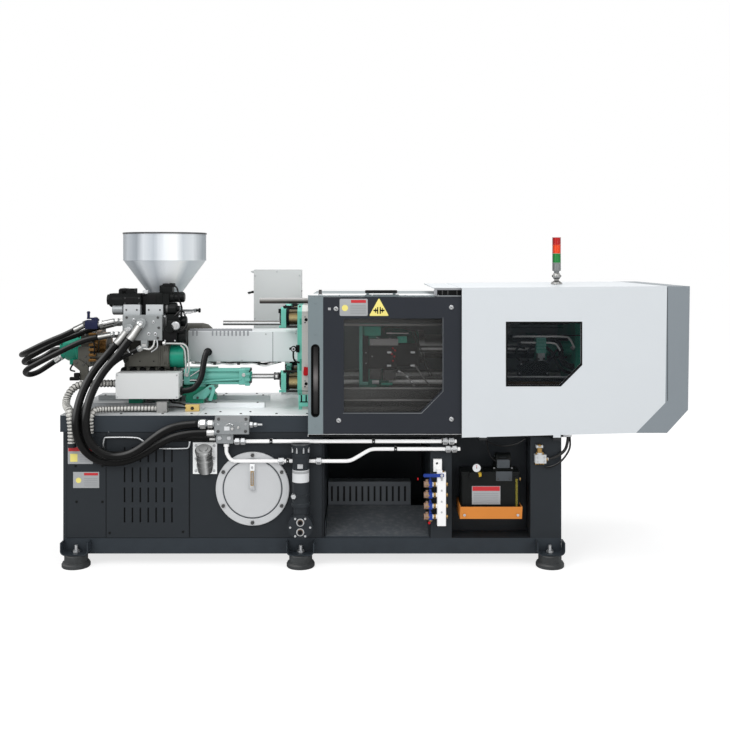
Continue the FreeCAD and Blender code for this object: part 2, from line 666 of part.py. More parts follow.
def fixed_platen():
    """The fixed platen on its two feet, with nozzle recess, locating bore and mould fixing holes."""
    x = FIXED_PLATEN_X
    body = platen_blank(x)
    feet = []
    for side in (-190, 190):
        feet.append(box((x[0] + 6, x[1] - 6), (side - 50, side + 50), (BED_TOP, AXIS_Z - PLATEN_HALF + 20)))
    lower = AXIS_Z - PLATEN_HALF
    bridge = box((x[0] + 30, x[1] - 30), (-190, 190), (lower - 40, lower + 10))
    cheek = box((x[0] + 26, x[1]), (-PLATEN_HALF - 14, -PLATEN_HALF + 1), (AXIS_Z - 206, AXIS_Z + 206))
    body = joined(body, bridge, cheek, *feet)
    recess = [(0, -1), (130, -1), (100, 60), (60, 84), (0, 84)]
    recess = turned(recess, (x[0], 0, AXIS_Z), (1, 0, 0))
    holes = [recess, rod_x((x[0] + 80, x[1] + 1), 0, AXIS_Z, 30)]
    holes.append(rod_x((x[1] - LOCATING_DEPTH, x[1] + 1), 0, AXIS_Z, LOCATING_RADIUS))
    holes += tie_bar_bores((x[0] - 1, x[1] + 1), TIE_RADIUS)
    for y, z in mould_bolt_places():
        holes.append(rod_x((x[1] - MOULD_BOLT_DEPTH, x[1] + 1), y, z, MOULD_BOLT_RADIUS))
    return without(body, *holes)


def tie_bars():
    """The four tie bars, turned down at both ends for their nuts."""
    bars = []
    for y, z in tie_bar_places():
        bars.append(rod_x((-429, CYLINDER_PLATEN_X[1] + 70), y, z, TIE_RADIUS))
    return group(bars)


def tie_bar_nuts():
    """Round slotted nuts on both ends of the tie bars."""
    nuts = []
    for y, z in tie_bar_places():
        for x in ((-423, FIXED_PLATEN_X[0]), (CYLINDER_PLATEN_X[1], CYLINDER_PLATEN_X[1] + 46)):
            nut = without(rod_x(x, y, z, 45), rod_x((x[0] - 1, x[1] + 1), y, z, TIE_RADIUS))
            slots = []
            for turn in range(4):
                slot = box((x[0] - 1, x[1] + 1), (y + 39, y + 47), (z - 5, z + 5))
                slot.rotate(Vector(x[0], y, z), Vector(1, 0, 0), 45 + 90 * turn)
                slots.append(slot)
            nuts.append(without(nut, *slots))
    return group(nuts)


def nut_retainers():
    """Four keeper plates that lock the tie-bar nuts, each on two spacer bolts."""
    plates = []
    for y, z in tie_bar_places():
        plate = softened(box((-458, -430), (y - 58, y + 58), (z - 58, z + 58)), 16, (1, 0, 0))
        posts = [rod_x((-470, FIXED_PLATEN_X[0]), y + a * 50, z + a * 50, 7) for a in (-1, 1)]
        plates.append(joined(plate, *posts))
    return group(plates)


def guide_rods():
    """The rod of the traverse cylinder with its piston, and the upper guide rod, both on keeper plates."""
    y, z = TRAVERSE_Y, TRAVERSE_Z
    piston = [rod_x((-985, -965), y, z, 29.7), rod_x((-965, -458), y, z, 14), rod_x((-507, -458), y, z, 21)]
    upper = [rod_x((-847, -458), GUIDE_Y, GUIDE_Z, 14.5), rod_x((-480, -458), GUIDE_Y, GUIDE_Z, 20)]
    return group([joined(*piston), joined(*upper)])


def moving_platen():
    """The moving platen with its ribbed bell casting, which spreads the ram's push to the corners."""
    x = MOVING_PLATEN_X
    body = platen_blank(x)
    rib_end = x[1] + 250
    pieces = [rod_x((x[1] - 1, rib_end), 0, AXIS_Z, 92)]
    reach = PLATEN_HALF - 20
    for turn in (45, 135, 225, 315):
        outline = [(0, x[1] - 1), (reach * 1.12, x[1] - 1), (reach * 1.12, x[1] + 22), (150, x[1] + 100),
                   (104, rib_end), (0, rib_end)]
        rib = prism_y([(h, r) for r, h in outline], (-13, 13))
        rib.rotate(Vector(0, 0, 0), Vector(1, 0, 0), turn)
        rib.translate(Vector(0, 0, AXIS_Z))
        pieces.append(rib)
    bosses = [rod_x((x[1] - 1, x[1] + 70), y, z, 44) for y, z in tie_bar_places()]
    blocks = [box((x[1] - 1, x[1] + 66), (-PLATEN_HALF + 6, -176), (AXIS_Z - 26, AXIS_Z + 60))]
    body = joined(body, *pieces, *bosses, *blocks)
    holes = tie_bar_bores((x[0] - 1, x[1] + 100), TIE_RADIUS + CLEARANCE)
    for y, z in mould_bolt_places():
        holes.append(rod_x((x[0] - 1, x[0] + MOULD_BOLT_DEPTH), y, z, MOULD_BOLT_RADIUS))
    holes.append(rod_x((x[0] - 1, x[0] + LOCATING_DEPTH), 0, AXIS_Z, LOCATING_RADIUS))
    holes.append(rod_x((x[0] - 1, x[1] + 160), 0, AXIS_Z, 22))
    holes.append(rod_x((x[1] + 20, x[1] + 160), 0, AXIS_Z, 62))
    return without(body, *holes)


EJECTOR_ROD_RADIUS = 20


def ejector():
    """The ejector: its piston plate inside the bell casting and the rod through the moving platen."""
    x = MOVING_PLATEN_X
    rod = rod_x((x[0] + LOCATING_DEPTH + 4, x[1] + 90), 0, AXIS_Z, EJECTOR_ROD_RADIUS)
    plate = rod_x((x[1] + 90, x[1] + 120), 0, AXIS_Z, 58)
    return joined(rod, plate)


def clamp_ram():
    """The main ram between the bell casting and the clamp cylinder."""
    left = MOVING_PLATEN_X[1] + 250
    flange = rod_x((left, left + 34), 0, AXIS_Z, 98)
    return joined(flange, rod_x((left, 1470), 0, AXIS_Z, RAM_RADIUS))


def travel_rods():
    """The two travel rods that open and close the moving platen."""
    rods = []
    for y in (-TRAVEL_ROD_Y, TRAVEL_ROD_Y):
        left = MOVING_PLATEN_X[1]
        rods.append(joined(rod_x((left, 1390), y, AXIS_Z, TRAVEL_ROD_RADIUS),
                           rod_x((left, left + 24), y, AXIS_Z, 26), rod_x((1370, 1390), y, AXIS_Z, 31)))
    return group(rods)


def cylinder_platen():
    """The cylinder platen at the tail of the tie bars, with its feet, ram bore and travel bores."""
    x = CYLINDER_PLATEN_X
    body = platen_blank(x)
    feet = []
    for side in (-190, 190):
        feet.append(box(x, (side - 50, side + 50), (CAP_BOTTOM_Z + COVER_SKIN, AXIS_Z - PLATEN_HALF + 20)))
    holes = tie_bar_bores((x[0] - 1, x[1] + 1), TIE_RADIUS)
    holes.append(rod_x((x[0] - 1, x[1] + 1), 0, AXIS_Z, RAM_RADIUS + CLEARANCE))
    holes += [rod_x((x[0] - 1, x[1] + 1), y, AXIS_Z, 45) for y in (-TRAVEL_ROD_Y, TRAVEL_ROD_Y)]
    return without(joined(body, *feet), *holes)


def clamp_cylinder():
    """The main clamp cylinder behind the cylinder platen."""
    x = CYLINDER_PLATEN_X[1]
    wall = [(RAM_RADIUS + 8, 0), (95, 0), (95, 22), (92, 26), (92, 386), (98, 390), (98, 412)]
    wall += [(0, 412), (0, 388)]
    wall += [(RAM_RADIUS + 8, 388)]
    return turned(wall, (x, 0, AXIS_Z), (1, 0, 0))


def travel_cylinders():
    """Two travel cylinders through the cylinder platen, with square heads on the platen side."""
    pieces = []
    for y in (-TRAVEL_ROD_Y, TRAVEL_ROD_Y):
        head = softened(box((1007, 1065), (y - 48, y + 48), (AXIS_Z - 62, AXIS_Z + 66)), 8, (1, 0, 0))
        barrel = rod_x((1060, 1660), y, AXIS_Z, 45)
        bores = [rod_x((1050, 1640), y, AXIS_Z, 32),
                 rod_x((1000, 1060), y, AXIS_Z, TRAVEL_ROD_RADIUS + CLEARANCE)]
        pieces.append(without(joined(head, barrel), *bores))
    return group(pieces)


def clamp_cylinders():
    """The main cylinder and the two travel cylinders."""
    return group([clamp_cylinder()] + list(travel_cylinders().Solids))


SAFETY_Y, SAFETY_Z = -120, 1467


def safety_bar():
    """The mechanical drop-bar safety: a notched round bar on a bracket of the moving platen."""
    bar_body = rod_x((-592, 60), SAFETY_Y, SAFETY_Z, 17)
    bracket = box((40, 76), (SAFETY_Y - 30, SAFETY_Y + 30), (AXIS_Z + PLATEN_HALF, SAFETY_Z + 25))
    return joined(bar_body, bracket)


# ---- Guards ----


def gate_frame():
    """The gate's folded edge strip with its recessed grip, the roof sheet and the front post below it."""
    x, y, z = GATE_X, GATE_Y, GATE_Z
    strip = box((x[0], x[0] + STRIP_WIDTH), (y[0] - 3, y[1]), (z[0] - 2, z[1]))
    strip = softened(strip, 4, (0, 0, 1))
    grip = softened(box((x[0] + 18, x[0] + 62), (y[0] - 4, y[0] + 22), (852, 1246)), 20, (0, 1, 0))
    strip = without(strip, grip)
    roof = box((x[0], x[1] - 6), (y[1] - 2, 6), (z[1] - 3, z[1]))
    top_grip = [box((28, 44), (-200, -150), (z[1], z[1] + 14)),
                box((180, 196), (-200, -150), (z[1], z[1] + 14)),
                box((28, 196), (-200, -150), (z[1] + 12, z[1] + 26))]
    return joined(strip, roof, *top_grip)


WINDOW_X = (-105, 450)
WINDOW_Z = (867, 1397)
WINDOW_CUT = 122


def window_outline(inset):
    """The gate window's outline with its cut corner, moved in by a margin."""
    x0, x1 = WINDOW_X[0] + inset, WINDOW_X[1] - inset
    z0, z1 = WINDOW_Z[0] + inset, WINDOW_Z[1] - inset
    cut = WINDOW_CUT
    return [(x0, z0), (x1 - cut, z0), (x1, z0 + cut), (x1, z1), (x0, z1)]


def gate_panel():
    """The dark sheet of the gate with its window opening and folded edges."""
    x = (GATE_X[0] + STRIP_WIDTH, GATE_X[1])
    sheet = box(x, (GATE_Y[0], GATE_Y[0] + 5), GATE_Z)
    folds = [box(x, GATE_Y, (GATE_Z[0], GATE_Z[0] + 5)), box((x[1] - 5, x[1]), GATE_Y, GATE_Z),
             box(x, GATE_Y, (GATE_Z[1] - 8, GATE_Z[1] - 3))]
    opening = prism_y(window_outline(10), (GATE_Y[0] - 1, GATE_Y[0] + 6))
    return without(joined(sheet, *folds), opening)


def gate_window():
    """The gate's clear pane, clamped behind the sheet."""
    return prism_y(window_outline(-12), (GATE_Y[0] + 5, GATE_Y[0] + 10))


def rear_gate():
    """The rear gate: one folded sheet with its roof and a clear pane behind a plain opening."""
    x, z = GATE_X, GATE_Z
    sheet = box(x, (GATE_Y[0], GATE_Y[0] + 5), z)
    folds = [box(x, GATE_Y, (z[0], z[0] + 5)), box((x[0], x[0] + 5), GATE_Y, z),
             box((x[1] - 5, x[1]), GATE_Y, z),
             box(x, GATE_Y, (z[1] - 5, z[1])), box(x, (GATE_Y[1] - 2, -12), (z[1] - 3, z[1]))]
    grip = box((-268, -240), (GATE_Y[0] - 34, GATE_Y[0] - 22), (980, 1180))
    ends = [box((-268, -240), (GATE_Y[0] - 30, GATE_Y[0]), (h, h + 20)) for h in (980, 1160)]
    opening = prism_y(window_outline(10), (GATE_Y[0] - 1, GATE_Y[0] + 6))
    pane = prism_y(window_outline(-12), (GATE_Y[0] + 5, GATE_Y[0] + 10))
    return group([mirrored(without(joined(sheet, grip, *folds, *ends), opening)), mirrored(pane)])


COVER_WINDOW_X = (784, 1196)
COVER_WINDOW_Z = (1021, 1370)
COVER_WINDOW_CUT = 116


def cover_outline():
    """The clamp cover's side outline, with its cut lower corner."""
    return [(COVER_X[0], COVER_Z[0]), (1488, CAP_BOTTOM_Z), (1647, 931), (COVER_X[1], COVER_Z[1] + 3),
            (COVER_X[0], COVER_Z[1] - 6)]


def cover_window_outline(inset):
    """The cover window's outline with its cut corner."""
    x0, x1 = COVER_WINDOW_X[0] + inset, COVER_WINDOW_X[1] - inset
    z0, z1 = COVER_WINDOW_Z[0] + inset, COVER_WINDOW_Z[1] - inset
    return [(x0, z0), (x1 - COVER_WINDOW_CUT, z0), (x1, z0 + COVER_WINDOW_CUT), (x1, z1), (x0, z1)]


def clamp_cover():
    """The sheet-metal cover over the clamping unit: two sides, a roof, a floor behind the base and feet."""
    y, skin = COVER_Y, COVER_SKIN
    outline = cover_outline()
    sides = both_sides(prism_y(outline, (-y, -y + skin)))
    roof_line = [(COVER_X[0], COVER_Z[1] - 6 - skin), (COVER_X[1], COVER_Z[1] + 3 - skin),
                 (COVER_X[1], COVER_Z[1] + 3), (COVER_X[0], COVER_Z[1] - 6)]
    roof = prism_y(roof_line, (-y, y))
    visor = [box((400, COVER_X[0] + 10), (-y + 34, y - 34), (1546, 1552))]
    tabs = []
    for x in (640, 1040):
        for low, high in ((-y + skin - 1, -BASE_HALF_WIDTH), (BASE_HALF_WIDTH, y - skin + 1)):
            tabs.append(box((x, x + 40), (low, high), (728, 743)))
    walls = ((-y, -y + skin), (y - skin, y))
    seats = [box((x, x + 40), wall, (728, 760)) for x in (640, 1040) for wall in walls]
    opening = prism_y(cover_window_outline(8), (-y - 1, -y + skin + 1))
    body = joined(*sides, roof, *visor, *tabs, *seats)
    return without(body, opening)


def cover_window():
    """The clear pane of the clamp cover."""
    return prism_y(cover_window_outline(-10), (-COVER_Y + COVER_SKIN, -COVER_Y + COVER_SKIN + 5))


def cover_end_cap():
    """The grey end cap that closes the cover's tail and carries on along its cut corner and floor."""
    y, skin = COVER_Y, COVER_SKIN
    outer = [(1488, CAP_BOTTOM_Z), (COVER_X[1], CAP_BOTTOM_Z), (1770, 893), (CAP_END_X, COVER_Z[1] + 3),
             (COVER_X[1], COVER_Z[1] + 3), (1647, 931)]
    side = prism_y(outer, (-y, -y + skin))
    top = COVER_Z[1] + 3
    end = prism_y([(1770, 893), (CAP_END_X, top), (CAP_END_X - 5, top), (1765, 895)], (-y, y))
    slope = prism_y([(1656, CAP_BOTTOM_Z), (1770, 893), (1765, 896), (1652, CAP_BOTTOM_Z + 4)], (-y, y))
    roof = box((COVER_X[1], CAP_END_X), (-y, y), (COVER_Z[1] - 1, COVER_Z[1] + 3))
    floor = box((BASE_X[1], COVER_X[1]), (-455, 455), (CAP_BOTTOM_Z, CAP_BOTTOM_Z + skin))
    return joined(side, mirrored(side), end, slope, roof, floor)


LAMP_X = 1159
LENS_HEIGHTS = (48, 55, 52, 44)


def stack_lamp():
    """The signal lamp: foot, ball swivel, socket and four stacked lenses."""
    x, y, z = LAMP_X, 0, COVER_Z[1] + 0.2
    pieces = [rod_z(x, y, (z, z + 18), 34), rod_z(x, y, (z + 16, z + 30), 16)]
    pieces.append(Part.makeSphere(25, Vector(x, y, z + 48)))
    low = z + 79
    pieces.append(rod_z(x, y, (z + 60, low), 15))
    for height in LENS_HEIGHTS:
        pieces.append(rod_z(x, y, (low, low + height - 2), 25))
        pieces.append(rod_z(x, y, (low + height - 2, low + height), 26))
        low += height
    return joined(*pieces)


# ---- Injection unit ----


def carriage_base():
    """The carriage casting on four feet that ride the bed rails, with the front bracket of the unit."""
    body = box(CARRIAGE_X, (-185, 185), (925, 1050))
    body = without(body, box((CARRIAGE_X[0] + 40, CARRIAGE_X[1] - 40), (-150, 150), (900, 1030)))
    feet = []
    for x in (CARRIAGE_X[0] + 60, CARRIAGE_X[1] - 110):
        for side in (-RAIL_Y, RAIL_Y):
            feet.append(box((x, x + 80), (side - 35, side + 35), (RAIL_TOP, 930)))
    body = without(body, box((-1030, CARRIAGE_X[1] + 1), (-200, -100), (TRAVERSE_Z - 57, 1060)))
    outline = [(-930, 925), (-850, 900), (-836, 900), (-836, 930), (-880, 974), (-930, 974)]
    bracket = prism_y(outline, (-185, -140))
    stop = box((-1010, -950), (-190, -150), (RAIL_TOP + 4, 930))
    return joined(body, bracket, stop, *feet)


def injection_housing():
    """The ribbed feed housing that carries the barrel, the hopper neck and the injection cylinders."""
    body = box((-1370, -1100), (-165, 165), (1050, 1247))
    bell = joined(rod_x((-1400, -1100), 0, AXIS_Z, 105), rod_x((-1101, -1020), 0, AXIS_Z, 86))
    ribs = []
    for x in (-1350, -1290, -1230, -1170, -1114):
        ribs.append(prism_x([(-196, 1050), (-165, 1050), (-165, 1220), (-172, 1220)], (x, x + 14)))
    fan = [rod_y(-1290, (-182, -160), 1120, 62), rod_y(-1290, (-190, -160), 1120, 20)]
    lugs = []
    for y, z in INJECTION_AXES:
        lugs.append(rod_x((-1130, -1100), y, z, 84))
    throat = rod_z(FEED_X, 0, (AXIS_Z, 1385), 66)
    profile = [(0, 0), (62, 0), (62, 130), (54, 162), (34, 186), (0, 196)]
    dome = turned(profile, (-1101, 165, 1256), (1, 0, 0))
    body = joined(body, bell, throat, dome, *ribs, *fan, *lugs)
    holes = [rod_x((-1500, -1000), 0, AXIS_Z, BARREL_RADIUS), rod_z(FEED_X, 0, (AXIS_Z, 1400), 34)]
    holes += [rod_x((-1500, -1100), y, z, 46) for y, z in INJECTION_AXES]
    holes.append(rod_x((-1401, -1180), 0, AXIS_Z, 60))
    return without(body, *holes)


def injection_cylinders():
    """The two injection cylinders, set diagonally about the screw."""
    pieces = []
    for y, z in INJECTION_AXES:
        ends = (-1100, -1018)
        body = rod_x((-1330, -1100), y, z, 45.5)
        if y < 0:
            body = joined(body, rod_x(ends, y, z, 68))
        pieces.append(without(body, rod_x((-1331, -1105), y, z, 30)))
    return group(pieces)


def hopper():
    """The open hopper: a spun cylinder over a cone, with a rolled rim, its neck and the slide housing."""
    low, shoulder, top = HOPPER_Z
    skin = 3
    outline = [(HOPPER_OUTLET, low), (HOPPER_RADIUS, shoulder),
               (HOPPER_RADIUS, top - 8), (HOPPER_RADIUS + 3, top - 8),
               (HOPPER_RADIUS + 3, top), (HOPPER_RADIUS - skin, top), (HOPPER_RADIUS - skin, shoulder + 1),
               (HOPPER_OUTLET - skin, low + 1), (34, low - 6), (34, 1421), (60, 1421), (60, low - 10),
               (HOPPER_OUTLET, low - 8)]
    body = turned(outline, (FEED_X, 0, 0), (0, 0, 1))
    housing = box((FEED_X - 90, FEED_X + 92), (-70, 70), (1385, 1421))
    slot = box((FEED_X - 46, FEED_X + 93), (-40.5, 40.5), (1397, 1409.6))
    bore = rod_z(FEED_X, 0, (1384, 1422), 34)
    return joined(body, without(housing, slot, bore))


def hopper_shutter():
    """The sliding shutter of the hopper, pulled out to open the throat."""
    plate = box((FEED_X + 36, FEED_X + 176), (-40, 40), (1398, 1409))
    grip = box((FEED_X + 172, FEED_X + 184), (-40, 40), (1394, 1413))
    return joined(plate, grip)


VALVE_X = (-1578, -1510)
VALVE_Z = (1312, 1358)
VALVE_STEM_X = -1526


def injection_manifold():
    """The steel valve block on the operator's side, with the upper blocks, hose unions and ferrules."""
    y = (-262, -100)
    block = box((-1356, -1132), y, (1247, 1391))
    upper = [box(span, (-240, -110), (1390, 1450)) for span in ((-1356, -1262), (-1228, -1132))]
    ports = ((-205, 1354), (-205, 1278), (-150, 1338))
    left = [rod_x((-1420, -1355), across, up, 14) for across, up in ports]
    ferrules = [bar((-1508, -205, 1262), (-1418, -205, 1278), 17),
                bar((-1512, -150, 1316), (-1418, -150, 1338), 17)]
    neck = bar((VALVE_X[1] - 2, -205, 1334), (-1418, -205, 1354), 15)
    front = [bar((-1308, -294, 1255), (-1244, -276, 1348), 23),
             bar((-1384, -280, 1231), (-1314, -276, 1314), 22)]
    elbows = [rod_y(-1246, (-290, -250), 1348, 26), rod_y(-1314, (-290, -250), 1314, 25)]
    drain = bar((-1270, -262, 1196), (-1230, -262, 1216), 15)
    drain_elbow = box((-1248, -1212), (-276, -240), (1200, 1250))
    return joined(block, *upper, *left, *ferrules, neck, *front, *elbows, drain, drain_elbow)


def hydraulic_valves():
    """The directional and proportional valves with their coils, plugs and the side valve cluster."""
    pieces = [
        joined(box((-1440, -1262), (-226, -124), (1450, 1512)),
               box((-1372, -1300), (-214, -140), (1512, 1540)),
               rod_x((-1462, -1440), -175, 1476, 30)),
        joined(box((-1228, -1100), (-226, -124), (1450, 1512)), rod_x((-1100, -1024), -175, 1490, 30),
               box((-1158, -1096), (-206, -146), (1512, 1558))),
        joined(box((-1132, -1050), (-250, -168), (1236, 1300)),
               box((-1112, -1040), (-236, -130), (1300, 1394)),
               rod_x((-1050, -1006), -180, 1262, 34), rod_y(-1086, (-276, -250), 1318, 24),
               rod_x((-1040, -1012), -180, 1352, 26)),
    ]
    return group(pieces)


def valve_block():
    """The valve block with the stop valve fixed on its hose line."""
    return joined(injection_manifold(), ball_valve())


def ball_valve():
    """The stop valve in the hose line, with its body and hose ferrule."""
    body = box(VALVE_X, (-229, -181), VALVE_Z)
    ferrule = bar((-1645.5, -205, 1303), (VALVE_X[0] + 2, -205, 1338), 17)
    bonnet = rod_z(VALVE_STEM_X, -205, (VALVE_Z[1], VALVE_Z[1] + 6), 11)
    return joined(body, ferrule, bonnet)


def valve_handle():
    """The handle of the stop valve: a flat lever with an upright post at its end."""
    top = VALVE_Z[1] + 6
    hub = rod_z(VALVE_STEM_X, -205, (top, top + 10), 15)
    lever = softened(box((-1574, VALVE_STEM_X + 14), (-214, -196), (top + 2, top + 10)), 6, (0, 0, 1))
    post = rod_z(-1565, -205, (top + 8, top + 38), 6)
    return joined(hub, lever, post)


def barrel():
    """The plasticising barrel with its heater bands, end cap and nozzle."""
    outline = [(BORE_RADIUS, 0), (BARREL_RADIUS, 0), (BARREL_RADIUS, 300)]
    for band in range(4):
        start = 310 + 78 * band
        outline += [(BARREL_RADIUS, start), (56, start), (56, start + 66), (BARREL_RADIUS, start + 66)]
    outline += [(BARREL_RADIUS, 636), (64, 640), (64, 690), (30, 702), (30, 800), (24, 812)]
    outline += [(17, 824), (5, 828), (5, 700), (BORE_RADIUS, 680)]
    return turned(outline, (-1130, 0, AXIS_Z), (1, 0, 0))


def barrel_cover():
    """The folded barrel cover with its row of vent slots along the upper edge."""
    x, z, half = BARREL_COVER_X, BARREL_COVER_Z, BARREL_COVER_HALF
    skin = 3
    outer = softened(box(x, (-half, half), z), 9, (1, 0, 0))
    inner = box((x[0] + skin, x[1] - skin), (-half + skin, half - skin), (z[0] - 20, z[1] - skin))
    ends = box((x[0] - 1, x[1] + 1), (-75, 75), (z[0] - 20, z[1] - 30))
    slots = []
    for n in range(15):
        if n in (2, 3, 4):
            continue
        start = x[0] + 22 + 23 * n
        slots.append(box((start, start + 9), (-half - 1, -half + 32), (z[1] - 30, z[1] + 1)))
        slots.append(box((start, start + 9), (half - 32, half + 1), (z[1] - 30, z[1] + 1)))
    return without(outer, inner, ends, *slots)


def screw():
    """The plasticising screw: flighted section, check-ring tip and splined drive shank."""
    left, right = -1600, -495
    root = rod_x((left, right), 0, AXIS_Z, 12)
    shank = rod_x((left, -1240), 0, AXIS_Z, SCREW_RADIUS)
    tip = turned([(0, 0), (SCREW_RADIUS, 0), (SCREW_RADIUS, 16), (0, 46)], (right, 0, AXIS_Z), (1, 0, 0))
    pitch = 34
    turns = 21
    flights = []
    for n in range(turns):
        start = -1220 + pitch * n
        disc = Part.makeCylinder(SCREW_RADIUS, 5, Vector(start, 0, AXIS_Z), Vector(1, 0, 0))
        flights.append(disc)
    return joined(root, shank, tip, *flights)


def screw_drive():
    """The drive plate with its bearing housing, the injection rods and the side bracket."""
    x = BACK_PLATE_X
    outline = [(x[0], 1127), (x[1] - 12, 1087), (x[1], 1087), (x[1], 1284), (x[0], 1284)]
    hose_notch = box((x[0] - 1, x[1] + 1), (-173, -116), (1204, 1285))
    plate = without(prism_y(outline, (-172, 172)), hose_notch)
    housing = [(0, 0), (96, 0), (96, 26), (84, 30), (84, 67), (0, 67)]
    bearing = turned(housing, (x[1] - 1, 0, AXIS_Z), (1, 0, 0))
    rods = []
    for y, z in INJECTION_AXES:
        rods.append(joined(rod_x((x[1] - 1, -1120), y, z, 18), rod_x((-1135, -1115), y, z, 29.6)))
    bracket = [(-1660, 1127), (-1628, 1132), (-1575, 1096), (-1575, 1010), (-1622, 1010)]
    bracket += [(-1622, 1066), (-1660, 1098)]
    body = joined(plate, bearing, prism_y(bracket, (-184, -160)), *rods)
    return without(body, rod_x((-1601, -1499), 0, AXIS_Z, SCREW_RADIUS + CLEARANCE))


MOTOR_PORTS = ((70, 1206), (20, 1172))
MOTOR_FRONT_PORT = (-40, 1106.6)


def hydraulic_motor():
    """The screw's hydraulic motor with its cover bolts and three hose ports."""
    x0 = BACK_PLATE_X[0]
    length = x0 - MOTOR_END_X
    outline = [(0, 0), (90, 0), (90, 36), (84, 44), (84, length - 40), (76, length - 26), (44, length - 18)]
    outline += [(44, length - 8), (0, length - 8)]
    body = turned(outline, (x0, 0, AXIS_Z), (-1, 0, 0))
    bolts = []
    for n in range(8):
        turn = math.radians(22.5 + 45 * n)
        across, up = 62 * math.cos(turn), AXIS_Z + 62 * math.sin(turn)
        bolts.append(rod_x((x0 - length + 20, x0 - 60), across, up, 7))
    ports = [rod_x((MOTOR_END_X, MOTOR_END_X + 60), across, up, 19) for across, up in MOTOR_PORTS]
    across, up = MOTOR_FRONT_PORT
    ports.append(bar((-1809, across, up + 0.6), (-1748, across, up + 42), 17))
    lobe = rod_z(-1702, -20, (1086, 1130), 27)
    return joined(body, lobe, *bolts, *ports)


def traverse_cylinder():
    """The carriage's traverse cylinder: barrel, square heads and four tension rods."""
    y, z = TRAVERSE_Y, TRAVERSE_Z
    tube_part = rod_x((-1000, -700), y, z, 38)
    heads = []
    for span in ((-1020, -986), (-704, -646)):
        heads.append(softened(box(span, (y - 46, y + 46), (z - 46, z + 46)), 9, (1, 0, 0)))
    ties = [rod_x((-1020, -650), y + a * 36, z + b * 36, 7) for a in (-1, 1) for b in (-1, 1)]
    foot = box((-960, -900), (y - 30, y + 46), (z - 57, z - 34))
    body = joined(tube_part, foot, *heads, *ties)
    return without(body, rod_x((-1000, -704), y, z, 30), rod_x((-705, -640), y, z, 14 + CLEARANCE))


def wiring_box():
    """The terminal box on the carriage's front, with its glands for the two conduits."""
    case = softened(box((-1380, -1027), (-322, -200), (925, 1068)), 4, (0, 1, 0))
    arm = [box((x, x + 40), (-201, -185), (940, 1040)) for x in (-1300, -1100)]
    glands = [rod_x((-1030, -1020), -256, 962, 24), rod_x((-1392, -1378), -262, 1004, 26)]
    return joined(case, *glands, *arm)


def conduit_block():
    """The junction block on the bed where the corrugated conduit ends."""
    return softened(box((-1142, -1082), (-368, -292), (BED_TOP, 912)), 5, (0, 0, 1))


def motor_hoses():
    """The three looped hoses between the valve block and the screw motor."""
    routes = (("valve_loop", VALVE_LOOP_ROUTE), ("middle_loop", MIDDLE_LOOP_ROUTE),
              ("lower_loop", LOWER_LOOP_ROUTE))
    return group([tube(route, LOOP_RADIUS, name) for name, route in routes])


def supply_hoses():
    """The pressure, return and drain hoses between the injection unit and the base."""
    return group([tube(SUPPLY_ROUTE, HOSE_RADIUS, "supply_hose"),
                  tube(RETURN_ROUTE, HOSE_RADIUS, "return_hose"),
                  tube(DRAIN_ROUTE, DRAIN_RADIUS, "drain_hose")])


def drive_conduit():
    """The corrugated conduit from the terminal box round and down to the base's left panel."""
    seam = Vector(0.48, 0.84, -0.26)
    return ribbed_conduit(DRIVE_CONDUIT_ROUTE, DRIVE_CONDUIT_RADIUS, 16, seam, "drive_conduit")


def bed_conduit():
    """The corrugated conduit from the junction block over the bed's edge to the base."""
    seam = Vector(0.46, -0.8, 0.38)
    return ribbed_conduit(BED_CONDUIT_ROUTE, BED_CONDUIT_RADIUS, 13, seam, "bed_conduit")


def heater_conduit():
    """The black conduit of the heater leads, from the barrel cover to the terminal box."""
    return tube(HEATER_CONDUIT_ROUTE, HEATER_RADIUS, "heater_conduit")


def bed_cable():
    """The thin cable from the junction block to the terminal box."""
    return tube(BED_CABLE_ROUTE, CABLE_RADIUS, "bed_cable")


NODES = {
    "base_frame": base_frame, "cabinet_panels": cabinet_panels, "oil_tank": oil_tank,
    "tank_cover": tank_cover, "filler_breather": filler_breather, "oil_cooler": oil_cooler,
    "parts_chute": parts_chute, "bed_top_plates": bed_top_plates, "levelling_feet": levelling_feet,
    "water_manifold": water_manifold, "water_valve_lever": water_valve_lever, "lube_tray": lube_tray,
    "lube_pump": lube_pump, "lube_distributor": lube_distributor, "oil_pipes": oil_pipes,
    "base_manifold": base_manifold, "control_cabinet": control_cabinet, "guide_rails": guide_rails,
    "fixed_platen": fixed_platen, "tie_bars": tie_bars, "tie_bar_nuts": tie_bar_nuts,
    "nut_retainers": nut_retainers, "guide_rods": guide_rods, "moving_platen": moving_platen,
    "ejector": ejector, "clamp_ram": clamp_ram, "travel_rods": travel_rods,
    "cylinder_platen": cylinder_platen, "clamp_cylinders": clamp_cylinders, "safety_bar": safety_bar,
    "gate_frame": gate_frame, "gate_panel": gate_panel, "gate_window": gate_window,
    "rear_gate": rear_gate, "clamp_cover": clamp_cover, "cover_window": cover_window,
    "cover_end_cap": cover_end_cap, "stack_lamp": stack_lamp, "carriage_base": carriage_base,
    "injection_housing": injection_housing, "injection_cylinders": injection_cylinders,
    "hopper": hopper, "hopper_shutter": hopper_shutter, "injection_manifold": valve_block,
    "hydraulic_valves": hydraulic_valves, "valve_handle": valve_handle, "barrel": barrel,
    "barrel_cover": barrel_cover, "screw": screw, "screw_drive": screw_drive,
    "hydraulic_motor": hydraulic_motor, "traverse_cylinder": traverse_cylinder,
    "wiring_box": wiring_box, "conduit_block": conduit_block, "motor_hoses": motor_hoses,
    "supply_hoses": supply_hoses, "drive_conduit": drive_conduit, "bed_conduit": bed_conduit,
    "heater_conduit": heater_conduit, "bed_cable": bed_cable,
}

